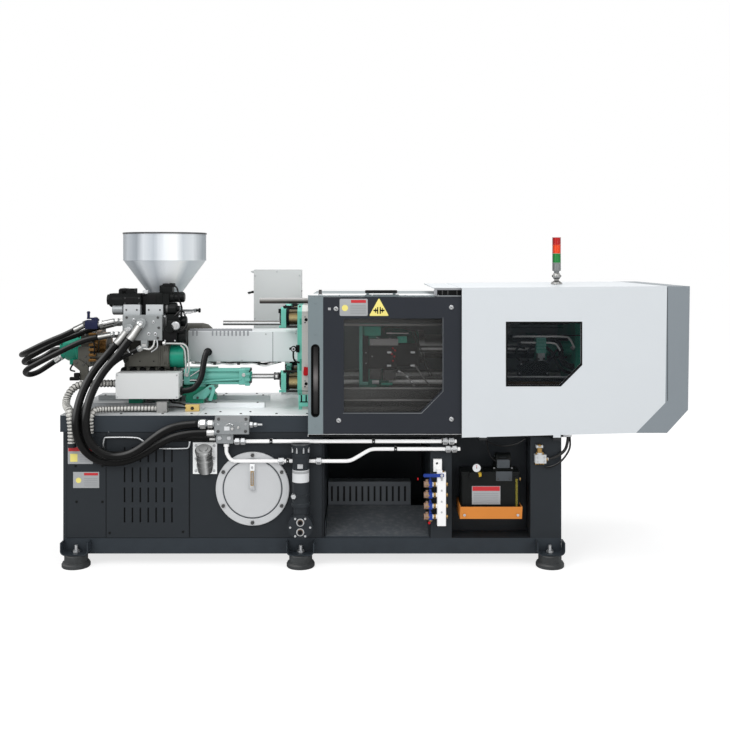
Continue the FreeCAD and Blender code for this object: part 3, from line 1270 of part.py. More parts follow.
os.makedirs("parts", exist_ok=True)
for name, make in NODES.items():
    piece = make()
    piece.translate(Vector(0, 0, -FLOOR_Z))
    piece.exportStep(f"parts/{name}.step")
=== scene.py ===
"""Looks of an injection moulding machine, laid out as an add-on and run as a script."""
import math

import bmesh
import bpy
from mathutils import Matrix, Vector


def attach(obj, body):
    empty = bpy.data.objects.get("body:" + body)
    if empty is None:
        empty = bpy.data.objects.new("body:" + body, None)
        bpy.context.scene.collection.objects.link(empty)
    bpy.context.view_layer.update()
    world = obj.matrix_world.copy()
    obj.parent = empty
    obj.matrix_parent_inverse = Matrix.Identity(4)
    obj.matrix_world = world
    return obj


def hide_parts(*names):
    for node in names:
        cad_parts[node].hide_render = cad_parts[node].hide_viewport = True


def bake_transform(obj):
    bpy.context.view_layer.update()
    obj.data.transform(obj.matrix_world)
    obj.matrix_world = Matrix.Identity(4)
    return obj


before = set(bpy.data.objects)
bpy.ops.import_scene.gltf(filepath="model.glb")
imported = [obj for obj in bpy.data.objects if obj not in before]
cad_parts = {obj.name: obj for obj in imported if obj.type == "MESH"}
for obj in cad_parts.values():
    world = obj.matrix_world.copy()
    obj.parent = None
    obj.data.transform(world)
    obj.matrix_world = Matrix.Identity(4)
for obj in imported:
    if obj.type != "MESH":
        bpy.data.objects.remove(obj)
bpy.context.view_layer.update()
FLOOR_Z = 30

bl_info = {
    "name": "Injection moulding machine",
    "version": (1, 0, 0),
    "blender": (4, 5, 0),
    "location": "3D View > Sidebar > Machine",
    "description": "Dresses the machine's frame with its finishes, hoses and small fittings",
    "category": "Object",
}

# Places are drawn in millimetres from a datum FLOOR_Z under the floor, as the parts are.
X_AXIS, Y_AXIS, Z_AXIS = Vector((1, 0, 0)), Vector((0, 1, 0)), Vector((0, 0, 1))
FRONT = Vector((0, -1, 0))
LEFT = Vector((-1, 0, 0))
AXIS_Z = 1190
TIE_BAR_Y, TIE_BAR_Z = (-184, 184), (1374, 1006)
FOOT_X, FOOT_Y = (-1561, -332, 1032), (-455, 455)
BED_TOP = 853
PANEL_FACE, GATE_FACE, COVER_FACE = -434, -492, -510
TANK_X, TANK_Z = -597, 449
COOLER_X, COOLER_Y = -330, -481
WATER_X, WATER_Y, WATER_OUTLET_Z = 437, -471, (481, 423, 363, 305)
PUMP_MOTOR = (777, -400, 0)
HOPPER = (-1169, 0, 0)
CYLINDER_Y, CYLINDER_Z = -150, 1148
TRAVERSE_Y, TRAVERSE_Z = -150, 1032
SMOOTH_BELOW = math.radians(34)


def placed(x, y, z):
    """A drawn place in the frame, in metres."""
    return x / 1000, y / 1000, (z - FLOOR_Z) / 1000


def linear(red, green, blue):
    """A display colour from 0 to 255 as a linear colour."""
    parts = [part / 255 for part in (red, green, blue)]
    return tuple(p / 12.92 if p <= 0.04045 else ((p + 0.055) / 1.055) ** 2.4 for p in parts)


# ---------------------------------------------------------------- settings

def colour_property(name, red, green, blue, description):
    return bpy.props.FloatVectorProperty(
        name=name, description=description, subtype="COLOR", size=3, min=0, max=1,
        default=linear(red, green, blue))


class MachineColours(bpy.types.PropertyGroup):
    """The paints of the machine."""
    base: colour_property("Base", 46, 50, 54, "Powder paint of the base and its panels")
    band: colour_property("Rail and band", 54, 60, 66, "Paint of the top rail and the bottom band")
    teal: colour_property("Teal", 112, 196, 178, "Paint of the platens and cylinders")
    dark_teal: colour_property("Dark teal", 18, 118, 98, "Paint of the drive, carriage and clamp castings")
    cover: colour_property("Clamp cover", 216, 221, 225, "Paint of the clamp's sheet cover")
    end_cap: colour_property("End cap", 134, 142, 148, "Paint of the cover's end")
    gate: colour_property("Gate frame", 122, 134, 138, "Paint of the gate's edge strips")
    cabinet: colour_property("Cabinets", 214, 216, 216, "Paint of the control cabinet and terminal box")
    barrel_cover: colour_property("Barrel cover", 180, 183, 188, "Paint of the barrel's sheet cover")
    tray: colour_property("Lubricator tray", 222, 138, 58, "Paint of the lubricator's drip tray")


class MachineSizes(bpy.types.PropertyGroup):
    """Sizes of the loose lines."""
    hose: bpy.props.FloatProperty(name="Supply hose", description="Diameter of the two large hoses",
                                  default=0.044, unit="LENGTH", min=0.02, max=0.06)
    loop: bpy.props.FloatProperty(name="Motor hose", description="Diameter of the looped hoses",
                                  default=0.032, unit="LENGTH", min=0.01, max=0.05)
    conduit: bpy.props.FloatProperty(name="Drive conduit",
                                     description="Diameter over the long conduit's ribs", default=0.044,
                                     unit="LENGTH", min=0.01, max=0.05)
    bed_conduit: bpy.props.FloatProperty(name="Bed conduit",
                                         description="Diameter over the short conduit's ribs",
                                         default=0.036, unit="LENGTH", min=0.01, max=0.05)


class StageSettings(bpy.types.PropertyGroup):
    """The camera and the light."""
    lens: bpy.props.FloatProperty(name="Lens", description="Focal length of the camera in millimetres",
                                  default=47.52, min=10, max=200)
    camera: bpy.props.FloatVectorProperty(name="Camera", description="Place of the camera",
                                          default=(0.020, -5.730, 1.6915), subtype="XYZ", unit="LENGTH")
    rise: bpy.props.FloatProperty(name="Shift", description="Vertical shift of the lens",
                                  default=-0.148, min=-0.5, max=0.5)
    daylight: bpy.props.FloatProperty(name="Surrounding light", description="Strength of the world's light",
                                      default=0.62, min=0, max=2)


# ---------------------------------------------------------------- finishes

class Field:
    """A shader socket that takes arithmetic: each operator adds one Math node."""

    def __init__(self, finish, socket):
        self.finish = finish
        self.socket = socket

    def _maths(self, operation, first, second):
        return self.finish.node("ShaderNodeMath", {"operation": operation}, {0: first, 1: second})

    def __add__(self, other):
        return self._maths("ADD", self, other)

    __radd__ = __add__

    def __sub__(self, other):
        return self._maths("SUBTRACT", self, other)

    def __rsub__(self, other):
        return self._maths("SUBTRACT", other, self)

    def __mul__(self, other):
        return self._maths("MULTIPLY", self, other)

    __rmul__ = __mul__

    def __truediv__(self, other):
        return self._maths("DIVIDE", self, other)

    def __gt__(self, other):
        return self._maths("GREATER_THAN", self, other)

    def __lt__(self, other):
        return self._maths("LESS_THAN", self, other)

    def __pow__(self, other):
        return self._maths("POWER", self, other)


class Finish:
    """A material that is built node by node."""

    def __init__(self, name):
        self.material = bpy.data.materials.new(name)
        self.material.use_nodes = True
        self.tree = self.material.node_tree
        self.tree.nodes.clear()

    def feed(self, socket, value):
        if isinstance(value, Field):
            self.tree.links.new(value.socket, socket)
        elif socket.type == "RGBA" and len(value) == 3:
            socket.default_value = (*value, 1)
        else:
            socket.default_value = value

    def node(self, kind, settings=None, values=None, output=0):
        made = self.tree.nodes.new(kind)
        for name, setting in (settings or {}).items():
            if name == "stops":
                ramp = made.color_ramp
                while len(ramp.elements) < len(setting):
                    ramp.elements.new(0.5)
                for element, (place, shade) in zip(ramp.elements, setting):
                    element.position = place
                    element.color = (*shade, 1)
            else:
                setattr(made, name, setting)
        for name, value in (values or {}).items():
            self.feed(made.inputs[name], value)
        return Field(self, made.outputs[output]) if made.outputs else None

    def place(self, scale=(1, 1, 1)):
        """The surface's own place, stretched by a scale along each axis."""
        here = self.node("ShaderNodeTexCoord", output="Object")
        if tuple(scale) == (1, 1, 1):
            return here
        return self.node("ShaderNodeMapping", values={"Vector": here, "Scale": scale})

    def axis(self, letter):
        return self.node("ShaderNodeSeparateXYZ", values={0: self.place()}, output=letter)

    def facing(self, letter):
        normal = self.node("ShaderNodeNewGeometry", output="Normal")
        return self.node("ShaderNodeSeparateXYZ", values={0: normal}, output=letter)

    def painted_highlight(self, shade, light):
        """The colour with a painted highlight: lighter where a dark glossy part turns to the key light."""
        turned = self.facing("Z") * 0.6 - self.facing("Y") * 0.7 - self.facing("X") * 0.38
        return self.mix(self.spread(turned, 0.86, 1.0), shade, (light, light, light))

    def painted_shade_bands(self, shade):
        """The colour of a bright round part with painted shade: darker below, with a thin dark line above
        painted as a reflection.
        """
        up = self.facing("Z")
        # painted shade: darker where the surface faces down
        shade = self.mix(self.spread(up, -0.2, -0.75, 0.0, 0.82), shade, (0.02, 0.02, 0.02))
        # painted reflection: a thin dark line where the surface faces partly up
        above = self.spread(up, 0.55, 0.82) * self.spread(up, 0.99, 0.94)
        return self.mix(above * 0.7, shade, (0.03, 0.03, 0.03))

    def noise(self, scale, detail=3.0, stretch=(1, 1, 1), rough=0.55):
        return self.node("ShaderNodeTexNoise", values={"Vector": self.place(stretch), "Scale": scale,
                                                       "Detail": detail, "Roughness": rough})

    def mix(self, mask, low, high):
        return self.node("ShaderNodeMix", {"data_type": "RGBA"}, {"Factor": mask, 6: low, 7: high},
                         output=2)

    def spread(self, value, low, high, to_low=0.0, to_high=1.0):
        return self.node("ShaderNodeMapRange",
                         values={0: value, 1: low, 2: high, 3: to_low, 4: to_high})

    def bump(self, height, strength, distance):
        return self.node("ShaderNodeBump", values={"Height": height, "Strength": strength,
                                                   "Distance": distance})

    def shader(self, **sockets):
        """The main shader with the given sockets, joined to the output."""
        values = {name.replace("_", " "): value for name, value in sockets.items()}
        main = self.node("ShaderNodeBsdfPrincipled", values=values)
        self.node("ShaderNodeOutputMaterial", values={"Surface": main})
        return self.material


FINISHES = {}


def finish(name):
    """The finish of that name, made once by its maker."""
    if name not in FINISHES:
        maker, *values = FINISH_TABLE[name]
        FINISHES[name] = maker(name, *values)
    return FINISHES[name]


def scaled(colour, amount):
    return tuple(min(1.0, part * amount) for part in colour)


def paint(name, colour, roughness=0.42, peel=0.05, dirt=0.10):
    """Sprayed paint with a fine orange peel, slight patches and a little dust that lies on level faces."""
    made = Finish(name)
    patches = made.noise(2.3, 4)
    fine = made.noise(420, 2)
    shade = made.mix(made.spread(patches, 0.3, 0.7), scaled(colour, 1 - dirt / 2),
                     scaled(colour, 1 + dirt / 2))
    dust = made.spread(made.facing("Z"), 0.8, 1.0) * made.spread(made.noise(38, 4), 0.45, 0.75) * 0.22
    shade = made.mix(dust, shade, (0.42, 0.41, 0.39))
    rough = made.spread(patches + made.noise(60, 2) * 0.5, 0.5, 1.0, roughness - 0.05, roughness + 0.09)
    return made.shader(Base_Color=shade, Roughness=rough, Normal=made.bump(fine, peel, 0.0006),
                       Specular_IOR_Level=0.12 if max(colour) < 0.1 else 0.3)


def gate_paint_with_lit_top(name, colour, lit_top_colour):
    """Gate paint whose level top sheet is painted near white, as painted light on the top."""
    made = Finish(name)
    patches = made.spread(made.noise(2.3, 4), 0.3, 0.7)
    shade = made.mix(patches, scaled(colour, 0.97), scaled(colour, 1.03))
    # painted light: the level top behind the front edge takes the near-white colour
    top = (made.facing("Z") > 0.9) * (made.axis("Y") > -0.455)
    return made.shader(Base_Color=made.mix(top, shade, lit_top_colour), Roughness=made.spread(patches, 0.0, 1.0, 0.34,
                                                                                    0.42),
                       Normal=made.bump(made.noise(420, 2), 0.04, 0.0006), Specular_IOR_Level=0.3)


def ramped(name, source, low, high, stops, roughness=0.32, metallic=0.0, marks=(1, 1, 1)):
    """A finish whose colour runs along the part, or with the way its surface faces: its stops paint
    highlights, reflections and shade onto it.
    """
    made = Finish(name)
    kind, letter = source.split()
    value = made.axis(letter) if kind == "place" else made.facing(letter)
    grain = made.noise(90, 4, marks, 0.65)
    value = made.spread(value, low, high) + (grain - 0.5) * 0.04
    shade = made.node("ShaderNodeValToRGB", {"stops": [(at, linear(*tone)) for at, tone in stops]},
                      {0: value})
    rough = made.spread(grain, 0.3, 0.7, roughness - 0.05, roughness + 0.05)
    return made.shader(Base_Color=shade, Roughness=rough, Metallic=metallic,
                       Normal=made.bump(grain, 0.05, 0.0004), Specular_IOR_Level=0.3)


def conduit_coat(name, colour, roughness):
    """Coated steel strip with painted shade: dark in the grooves between its ribs, darker below and with a
    painted dark line above.
    """
    made = Finish(name)
    # painted shade in the grooves between the ribs, found from the surface's pointiness
    groove_shade = made.spread(made.node("ShaderNodeNewGeometry", output="Pointiness"), 0.503, 0.49)
    shade = made.painted_shade_bands(made.mix(groove_shade, colour, scaled(colour, 0.12)))
    return made.shader(Base_Color=shade, Roughness=roughness, Metallic=0.2, Specular_IOR_Level=0.3,
                       Normal=made.bump(made.noise(200, 3), 0.05, 0.0004))


def rail_paint(name, colour, band_colour):
    """The base's paint, with the lighter rail above and band below, parted by the folded edges."""
    made = Finish(name)
    height = made.axis("Z")
    band = (height < 0.1455) + (height > 0.7305)
    patches = made.noise(2.0, 4)
    tone = made.mix(band, colour, band_colour)
    shade = made.mix(made.spread(patches, 0.3, 0.7), tone, scaled(band_colour, 1.1))
    shade = made.mix(made.spread(patches, 0.25, 0.75, 0.0, 0.25), tone, shade)
    grime = made.spread(height, 0.06, 0.21, 0.35, 0.0) * made.spread(made.noise(9, 5), 0.4, 0.7)
    shade = made.mix(grime, shade, scaled(colour, 0.72))
    rough = made.spread(made.noise(7, 3), 0.3, 0.7, 0.34, 0.5)
    return made.shader(Base_Color=shade, Roughness=rough, Normal=made.bump(made.noise(420, 2), 0.06,
                                                                           0.0006), Specular_IOR_Level=0.12)


def metal(name, colour, roughness=0.3, streaks=(1, 1, 1), depth=0.08, spread=0.16, purity=1.0):
    """Bare metal with fine tool marks along one direction, and painted shade: darker below, with a painted
    dark line above.
    """
    made = Finish(name)
    marks = made.noise(90, 4, streaks, 0.65)
    cloud = made.noise(5, 3)
    shade = made.mix(made.spread(marks, 0.25, 0.75), scaled(colour, 1 - spread),
                     scaled(colour, 1 + spread / 2))
    shade = made.mix(made.spread(cloud, 0.35, 0.75, 0.0, 0.3), shade, scaled(colour, 0.8))
    rough = made.spread(marks + cloud, 0.6, 1.4, max(0.04, roughness - 0.07), roughness + 0.09)
    return made.shader(Base_Color=made.painted_shade_bands(shade), Metallic=purity, Roughness=rough,
                       Normal=made.bump(marks, depth, 0.0005))


def chrome(name, colour=(0.78, 0.79, 0.8), roughness=0.1):
    # Chrome with painted shade: darker below, with a painted dark line above as a reflection.
    made = Finish(name)
    cloud = made.noise(24, 3)
    shade = made.mix(made.spread(cloud, 0.4, 0.7), colour, scaled(colour, 0.86))
    return made.shader(Base_Color=made.painted_shade_bands(shade), Metallic=1.0,
                       Roughness=made.spread(cloud, 0.3, 0.7, roughness * 0.6, roughness * 1.6))


def rubber(name, colour, roughness=0.5):
    """Hose rubber: the impression of its wrapping cloth, a slight sheen that is partly a painted highlight,
    and handling marks.
    """
    made = Finish(name)
    cloth = made.noise(260, 3)
    marks = made.noise(7, 4)
    shade = made.mix(made.spread(marks, 0.4, 0.8), colour, scaled(colour, 2.2))
    rough = made.spread(marks, 0.3, 0.7, roughness - 0.12, roughness + 0.1)
    return made.shader(Base_Color=made.painted_highlight(shade, 0.11), Roughness=rough, Specular_IOR_Level=0.12,
                       Normal=made.bump(cloth, 0.25, 0.0006))


def plastic(name, colour, roughness=0.35):
    made = Finish(name)
    marks = made.noise(16, 3)
    shade = made.mix(made.spread(marks, 0.3, 0.75), colour, scaled(colour, 1.25))
    return made.shader(Base_Color=shade, Roughness=made.spread(marks, 0.3, 0.7, roughness - 0.08,
                                                               roughness + 0.08),
                       Normal=made.bump(made.noise(700, 2), 0.1, 0.0004), Specular_IOR_Level=0.14)


def casting(name, colour, roughness=0.5):
    """Painted cast iron: a rough sand skin under a thick coat, with painted shade on the faces that look
    down.
    """
    made = Finish(name)
    skin = made.noise(85, 5)
    patches = made.noise(6, 4)
    shade = made.mix(made.spread(patches, 0.3, 0.75), scaled(colour, 0.86), scaled(colour, 1.1))
    # painted shade: faces that look down are darkened
    below = made.spread(made.facing("Z"), -0.1, -0.8, 0.0, 0.5)
    shade = made.mix(below, shade, scaled(colour, 0.3))
    return made.shader(Base_Color=shade, Roughness=made.spread(patches, 0.3, 0.7, roughness - 0.1,
                                                               roughness + 0.1),
                       Normal=made.bump(skin, 0.35, 0.0015), Specular_IOR_Level=0.22)


def platen_paint(name, colour, machined, low, high):
    """Platen paint with a ground steel strip between two places along the machine."""
    made = Finish(name)
    along = made.axis("X")
    bare = (along > low) * (along < high)
    marks = made.noise(90, 4, (1, 1, 14))
    steel = made.mix(made.spread(marks, 0.3, 0.7), scaled(machined, 0.85), machined)
    coat = made.mix(made.spread(made.noise(5, 4), 0.3, 0.7), scaled(colour, 0.9), scaled(colour, 1.08))
    rough = made.spread(made.noise(12, 3), 0.3, 0.7, 0.28, 0.44)
    return made.shader(Base_Color=made.mix(bare, coat, steel), Metallic=bare * 0.2, Roughness=rough,
                       Normal=made.bump(made.noise(120, 4), 0.12, 0.001), Specular_IOR_Level=0.3)


def clear(name, colour, left, right, span):
    """A clear sheet whose haze falls from the left share to the right one over its span in X."""
    made = Finish(name)
    haze = made.spread(made.axis("X"), *span, left, right) + (made.noise(3, 3) - 0.5) * 0.04
    made.material.surface_render_method = "BLENDED"
    return made.shader(Base_Color=colour, Roughness=0.12, Alpha=haze, Specular_IOR_Level=0.05)


def two_tone(name, letter, limit, low, high):
    """Paint with one colour under the limit on an axis and another over it."""
    made = Finish(name)
    patches = made.spread(made.noise(2.3, 4), 0.3, 0.7)
    shade = made.mix(made.axis(letter) > limit, low, high)
    shade = made.mix(patches * 0.03, shade, (0.3, 0.3, 0.3))
    return made.shader(Base_Color=shade,
                       Roughness=made.spread(patches, 0.0, 1.0, 0.34, 0.4),
                       Normal=made.bump(made.noise(420, 2), 0.03, 0.0006), Specular_IOR_Level=0.3)


def lamp_shell(name, colour, glow):
    """A lens of the stack lamp: coloured plastic with moulded rings, painted shade on its sides and a little
    light in it.
    """
    made = Finish(name)
    rings = made.node("ShaderNodeTexWave", {"bands_direction": "Z"},
                      {"Vector": made.place(), "Scale": 60.0, "Distortion": 0.0})
    shade = made.mix(made.spread(rings, 0.2, 0.8), scaled(colour, 0.8), scaled(colour, 1.15))
    # painted shade: the lens darkens where it faces sideways in X
    edge = made.facing("X") * made.facing("X")
    shade = made.mix(made.spread(edge, 0.25, 0.95, 0.0, 0.8), shade, scaled(colour, 0.12))
    return made.shader(Base_Color=shade, Roughness=0.22, Emission_Color=(*colour, 1),
                       Emission_Strength=glow, Coat_Weight=0.15, Normal=made.bump(rings, 0.4, 0.001),
                       Specular_IOR_Level=0.3)


def tuned(place):
    """A colour of the settings."""
    return tuple(getattr(bpy.context.scene.machine_colours, place))


def tuned_paint(name, place, *values):
    return paint(name, tuned(place), *values)


def tuned_casting(name, place, *values):
    return casting(name, tuned(place), *values)


FINISH_TABLE = {
    "base paint": (lambda name: rail_paint(name, tuned("base"), tuned("band")),),
    "panel paint": (tuned_paint, "base", 0.42),
    "band paint": (tuned_paint, "band", 0.42),
    "cover paint": (tuned_paint, "cover", 0.36, 0.03, 0.03),
    "end cap paint": (tuned_paint, "end_cap", 0.4, 0.04, 0.05),
    "gate frame paint": (tuned_paint, "gate", 0.34, 0.04, 0.06),
    # painted light: the gate's level top is painted near white
    "gate finish": (lambda name: gate_paint_with_lit_top(name, tuned("gate"), (0.94, 0.95, 0.96)),),
    "chute paint": (paint, linear(88, 93, 98), 0.42),
    # painted shade: the manifold's lower block is painted darker, as shade from the hoses
    "manifold steel": (ramped, "place Z", 1.2, 1.4,
                       ((0, (146, 150, 151)), (0.79, (150, 154, 155)), (0.83, (186, 190, 192)),
                        (1, (196, 199, 201))), 0.4, 0.2),
    "retainer finish": (lambda name: platen_paint(name, tuned("teal"), linear(30, 31, 31), -0.4295, -0.3),),
    # painted reflection and shade: a bright band on the sides, dark below and a dark line above
    "polished rod": (ramped, "facing Z", -1, 1, ((0, (52, 48, 46)), (0.22, (64, 60, 58)),
                                                 (0.36, (214, 214, 214)), (0.6, (244, 244, 244)),
                                                 (0.74, (120, 118, 116)), (0.84, (56, 54, 53)),
                                                 (1, (150, 150, 150))), 0.3, 0.3),
    # painted shade: darker where the bar faces down, lighter where it faces up
    "safety steel": (ramped, "facing Z", -1, 1, ((0, (52, 47, 44)), (0.34, (60, 54, 51)),
                                                 (0.44, (106, 103, 99)), (0.6, (138, 136, 133)),
                                                 (1, (176, 176, 175))), 0.34, 0.1),
    # painted highlight: light in the middle of the grip slot, dark at both ends
    "grip shine": (ramped, "place Z", 0.85, 1.19,
                   ((0, (12, 12, 12)), (0.3, (48, 47, 47)), (0.55, (126, 122, 122)), (0.75, (62, 60, 60)),
                    (1, (10, 10, 10)))),
    # painted shade: darker towards +X
    "shield steel": (ramped, "place X", -0.11, 0.4,
                     ((0, (104, 104, 102)), (0.4, (70, 70, 69)), (0.8, (34, 34, 34)), (1, (22, 22, 22)))),
    # painted shade: darker towards +X
    "rail light": (ramped, "place X", -0.11, 0.46,
                   ((0, (168, 166, 164)), (0.6, (142, 141, 140)), (1, (96, 96, 96)))),
    # painted highlight and shade: bright where the nut faces sideways, dark below and above
    "nut bronze": (ramped, "facing Z", -1, 1,
                   ((0, (30, 26, 20)), (0.3, (78, 66, 44)), (0.5, (196, 176, 128)), (0.66, (140, 120, 78)),
                    (0.8, (66, 56, 38)), (1, (110, 96, 64))), 0.3, 0.3),
    "pipe grey": (paint, linear(188, 190, 188), 0.3, 0.02, 0.05),
    "cabinet shade": (paint, linear(150, 152, 156), 0.45, 0.05, 0.03),
    "light teal": (paint, linear(104, 176, 163), 0.3, 0.08, 0.06),
    "injection teal": (casting, linear(28, 148, 122), 0.32),
    "gate sheet paint": (paint, linear(47, 50, 56), 0.36, 0.05, 0.06),
    "cabinet paint": (tuned_paint, "cabinet", 0.45, 0.05, 0.03),
    # painted light: the cover lightens towards its right end
    "barrel cover paint": (ramped, "place X", -1.013, -0.36,
                           ((0, (186, 189, 191)), (0.45, (200, 203, 205)), (0.75, (232, 235, 237)),
                            (1, (240, 242, 244))), 0.4),
    "tray paint": (tuned_paint, "tray", 0.4, 0.06, 0.12),
    "teal paint": (tuned_paint, "teal", 0.3, 0.08, 0.1),
    "dark teal paint": (tuned_casting, "dark_teal", 0.38),
    "mid teal paint": (casting, linear(60, 160, 138), 0.34),
    "platen finish": (lambda name: platen_paint(name, tuned("teal"), linear(206, 206, 202), -0.338, -0.2),),
    "olive casting": (casting, linear(84, 83, 77), 0.5),
    "green bracket paint": (casting, linear(36, 140, 112), 0.4),
    # painted reflection: the bed plates lighten towards +X
    "bed steel": (ramped, "place X", -1.4, -0.35, ((0, (168, 171, 173)), (0.35, (196, 199, 201)),
                                                   (0.7, (244, 247, 249)), (1, (250, 252, 253))), 0.42, 0.1,
                  (26, 1, 1)),
    # painted reflections: light and dark upright bands set by the way the surface faces in X
    "hopper steel": (ramped, "facing X", -1, 1,
                     ((0, (128, 135, 142)), (0.12, (192, 198, 204)), (0.25, (156, 163, 170)),
                      (0.34, (218, 223, 228)), (0.47, (186, 193, 200)), (0.6, (240, 244, 248)),
                      (0.72, (252, 254, 255)), (0.8, (204, 210, 216)), (0.9, (228, 232, 236)),
                      (1, (150, 158, 165))), 0.4, 0.0, (1, 1, 0.05)),
    "ground steel": (metal, linear(168, 169, 170), 0.3, (1, 14, 14), 0.08, 0.12),
    "block steel": (metal, linear(148, 152, 154), 0.38, (1, 9, 1), 0.1, 0.08, 0.35),
    "dark steel": (metal, linear(92, 92, 92), 0.4, (1, 1, 1), 0.2, 0.2),
    "heated steel": (metal, linear(120, 105, 92), 0.42, (1, 1, 1), 0.2, 0.25),
    "zinc": (metal, linear(204, 206, 208), 0.3, (1, 1, 1), 0.06, 0.12, 0.7),
    "aluminium": (metal, linear(170, 170, 168), 0.38, (1, 1, 1), 0.14, 0.12),
    "brass": (metal, linear(178, 144, 88), 0.26, (1, 6, 6), 0.08, 0.16, 0.8),
    "bronze": (metal, linear(112, 80, 38), 0.34, (1, 1, 1), 0.14, 0.2, 0.7),
    "chrome": (chrome,),
    "satin chrome": (chrome, (0.66, 0.66, 0.65), 0.28),
    "pipe coat": (paint, linear(255, 255, 254), 0.24, 0.02, 0.02),
    "hose rubber": (rubber, linear(12, 12, 12), 0.42),
    "foot rubber": (rubber, linear(58, 60, 61), 0.55),
    "lead rubber": (rubber, linear(17, 17, 18), 0.5),
    "conduit metal": (conduit_coat, linear(202, 201, 196), 0.38),
    "black plastic": (plastic, linear(16, 18, 18), 0.4),
    "dull black plastic": (plastic, linear(17, 17, 18), 0.6),
    "grey plastic": (plastic, linear(72, 76, 80), 0.4),
    "blue plastic": (plastic, linear(38, 62, 140), 0.3),
    "navy paint": (plastic, linear(30, 34, 62), 0.35),
    "red plastic": (plastic, linear(178, 26, 34), 0.35),
    "yellow plastic": (plastic, linear(206, 172, 60), 0.4),
    "ochre paint": (paint, linear(214, 184, 112), 0.45),
    "white paint": (paint, linear(252, 254, 255), 0.34, 0.03, 0.02),
    "tank cover paint": (paint, linear(204, 206, 208), 0.34, 0.04, 0.04),
    "label grey": (paint, linear(168, 170, 172), 0.5, 0.0, 0.03),
    "label red": (paint, linear(196, 50, 56), 0.5, 0.0, 0.03),
    "label yellow": (paint, linear(240, 226, 130), 0.5, 0.0, 0.03),
    "label white": (paint, linear(220, 222, 224), 0.5, 0.0, 0.03),
    "window sheet": (clear, linear(36, 40, 43), 0.34, 0.2, (0.78, 1.2)),
    "gate sheet": (clear, linear(84, 84, 83), 0.28, 0.14, (-0.1, 0.5)),
    "cover shell": (lambda name: two_tone(name, "Z", 0.713, (0.012, 0.013, 0.014), tuned("cover")),),
    # painted shade: the white pipe is painted near black past 0.79 m in X, inside the clamp cover
    "pipe run": (two_tone, "X", 0.79, (1, 1, 1), (0.014, 0.014, 0.014)),
    "distributor zinc": (two_tone, "X", 1.025, linear(206, 209, 211), (0.014, 0.014, 0.014)),
    "water bar": (two_tone, "X", 0.386, linear(150, 122, 106), (1, 1, 1)),
    # painted reflection and shade: a bright band just above the side, dark below and a dark line above
    "ferrule steel": (ramped, "facing Z", -1, 1, ((0, (34, 34, 34)), (0.3, (84, 84, 82)),
                                                  (0.46, (150, 150, 147)), (0.62, (236, 236, 234)),
                                                  (0.74, (150, 150, 148)), (0.86, (62, 62, 61)),
                                                  (1, (120, 120, 118))), 0.3, 0.2),
    # painted highlight and shade: light near the front, dark towards both sides in X
    "filler grey": (ramped, "facing X", -1, 1, ((0, (38, 39, 39)), (0.3, (96, 97, 97)),
                                                (0.5, (150, 151, 151)), (0.62, (196, 197, 197)),
                                                (0.78, (84, 85, 85)), (1, (40, 41, 41)))),
    "gauge glass": (clear, linear(150, 140, 60), 0.55, 0.55, (0, 1)),
    "lamp red": (lamp_shell, linear(186, 14, 12), 0.06),
    "lamp orange": (lamp_shell, linear(232, 66, 10), 0.1),
    "lamp green": (lamp_shell, linear(16, 128, 52), 0.06),
    "lamp grey": (lamp_shell, linear(132, 134, 134), 0.0),
    "inner black": (paint, linear(16, 17, 18), 0.6),
}

NODE_FINISHES = {
    "base_frame": "base paint", "cabinet_panels": "panel paint", "oil_tank": "panel paint",
    "tank_cover": "tank cover paint", "filler_breather": "filler grey", "oil_cooler": "panel paint",
    "parts_chute": "chute paint", "bed_top_plates": "bed steel", "levelling_feet": "foot rubber",
    "water_manifold": "water bar", "water_valve_lever": "blue plastic", "lube_tray": "tray paint",
    "lube_pump": "black plastic", "lube_distributor": "distributor zinc", "oil_pipes": "pipe run",
    "base_manifold": "block steel", "control_cabinet": "cabinet paint", "guide_rails": "bed steel",
    "fixed_platen": "platen finish", "tie_bars": "polished rod", "tie_bar_nuts": "nut bronze",
    "nut_retainers": "retainer finish", "guide_rods": "polished rod", "moving_platen": "dark teal paint",
    "ejector": "ground steel", "clamp_ram": "polished rod", "travel_rods": "polished rod",
    "cylinder_platen": "mid teal paint", "clamp_cylinders": "mid teal paint", "safety_bar": "safety steel",
    "gate_frame": "gate finish", "gate_panel": "gate sheet paint", "gate_window": "gate sheet",
    "rear_gate": "gate frame paint", "clamp_cover": "cover shell", "cover_window": "window sheet",
    "cover_end_cap": "end cap paint", "stack_lamp": "lamp grey", "carriage_base": "green bracket paint",
    "injection_housing": "olive casting", "injection_cylinders": "olive casting", "hopper": "hopper steel",
    "hopper_shutter": "block steel", "injection_manifold": "manifold steel",
    "hydraulic_valves": "black plastic",
    "valve_handle": "navy paint", "barrel": "heated steel", "barrel_cover": "barrel cover paint",
    "screw": "ground steel", "screw_drive": "olive casting", "hydraulic_motor": "injection teal",
    "traverse_cylinder": "light teal", "wiring_box": "cabinet paint", "conduit_block": "aluminium",
    "motor_hoses": "hose rubber", "supply_hoses": "hose rubber", "drive_conduit": "conduit metal",
    "bed_conduit": "conduit metal", "heater_conduit": "lead rubber", "bed_cable": "lead rubber",
}


# ---------------------------------------------------------------- mesh making

def square_to(heading):
    """A turn that takes Z onto the heading."""
    return Vector(heading).to_track_quat("Z", "Y").to_matrix().to_4x4()


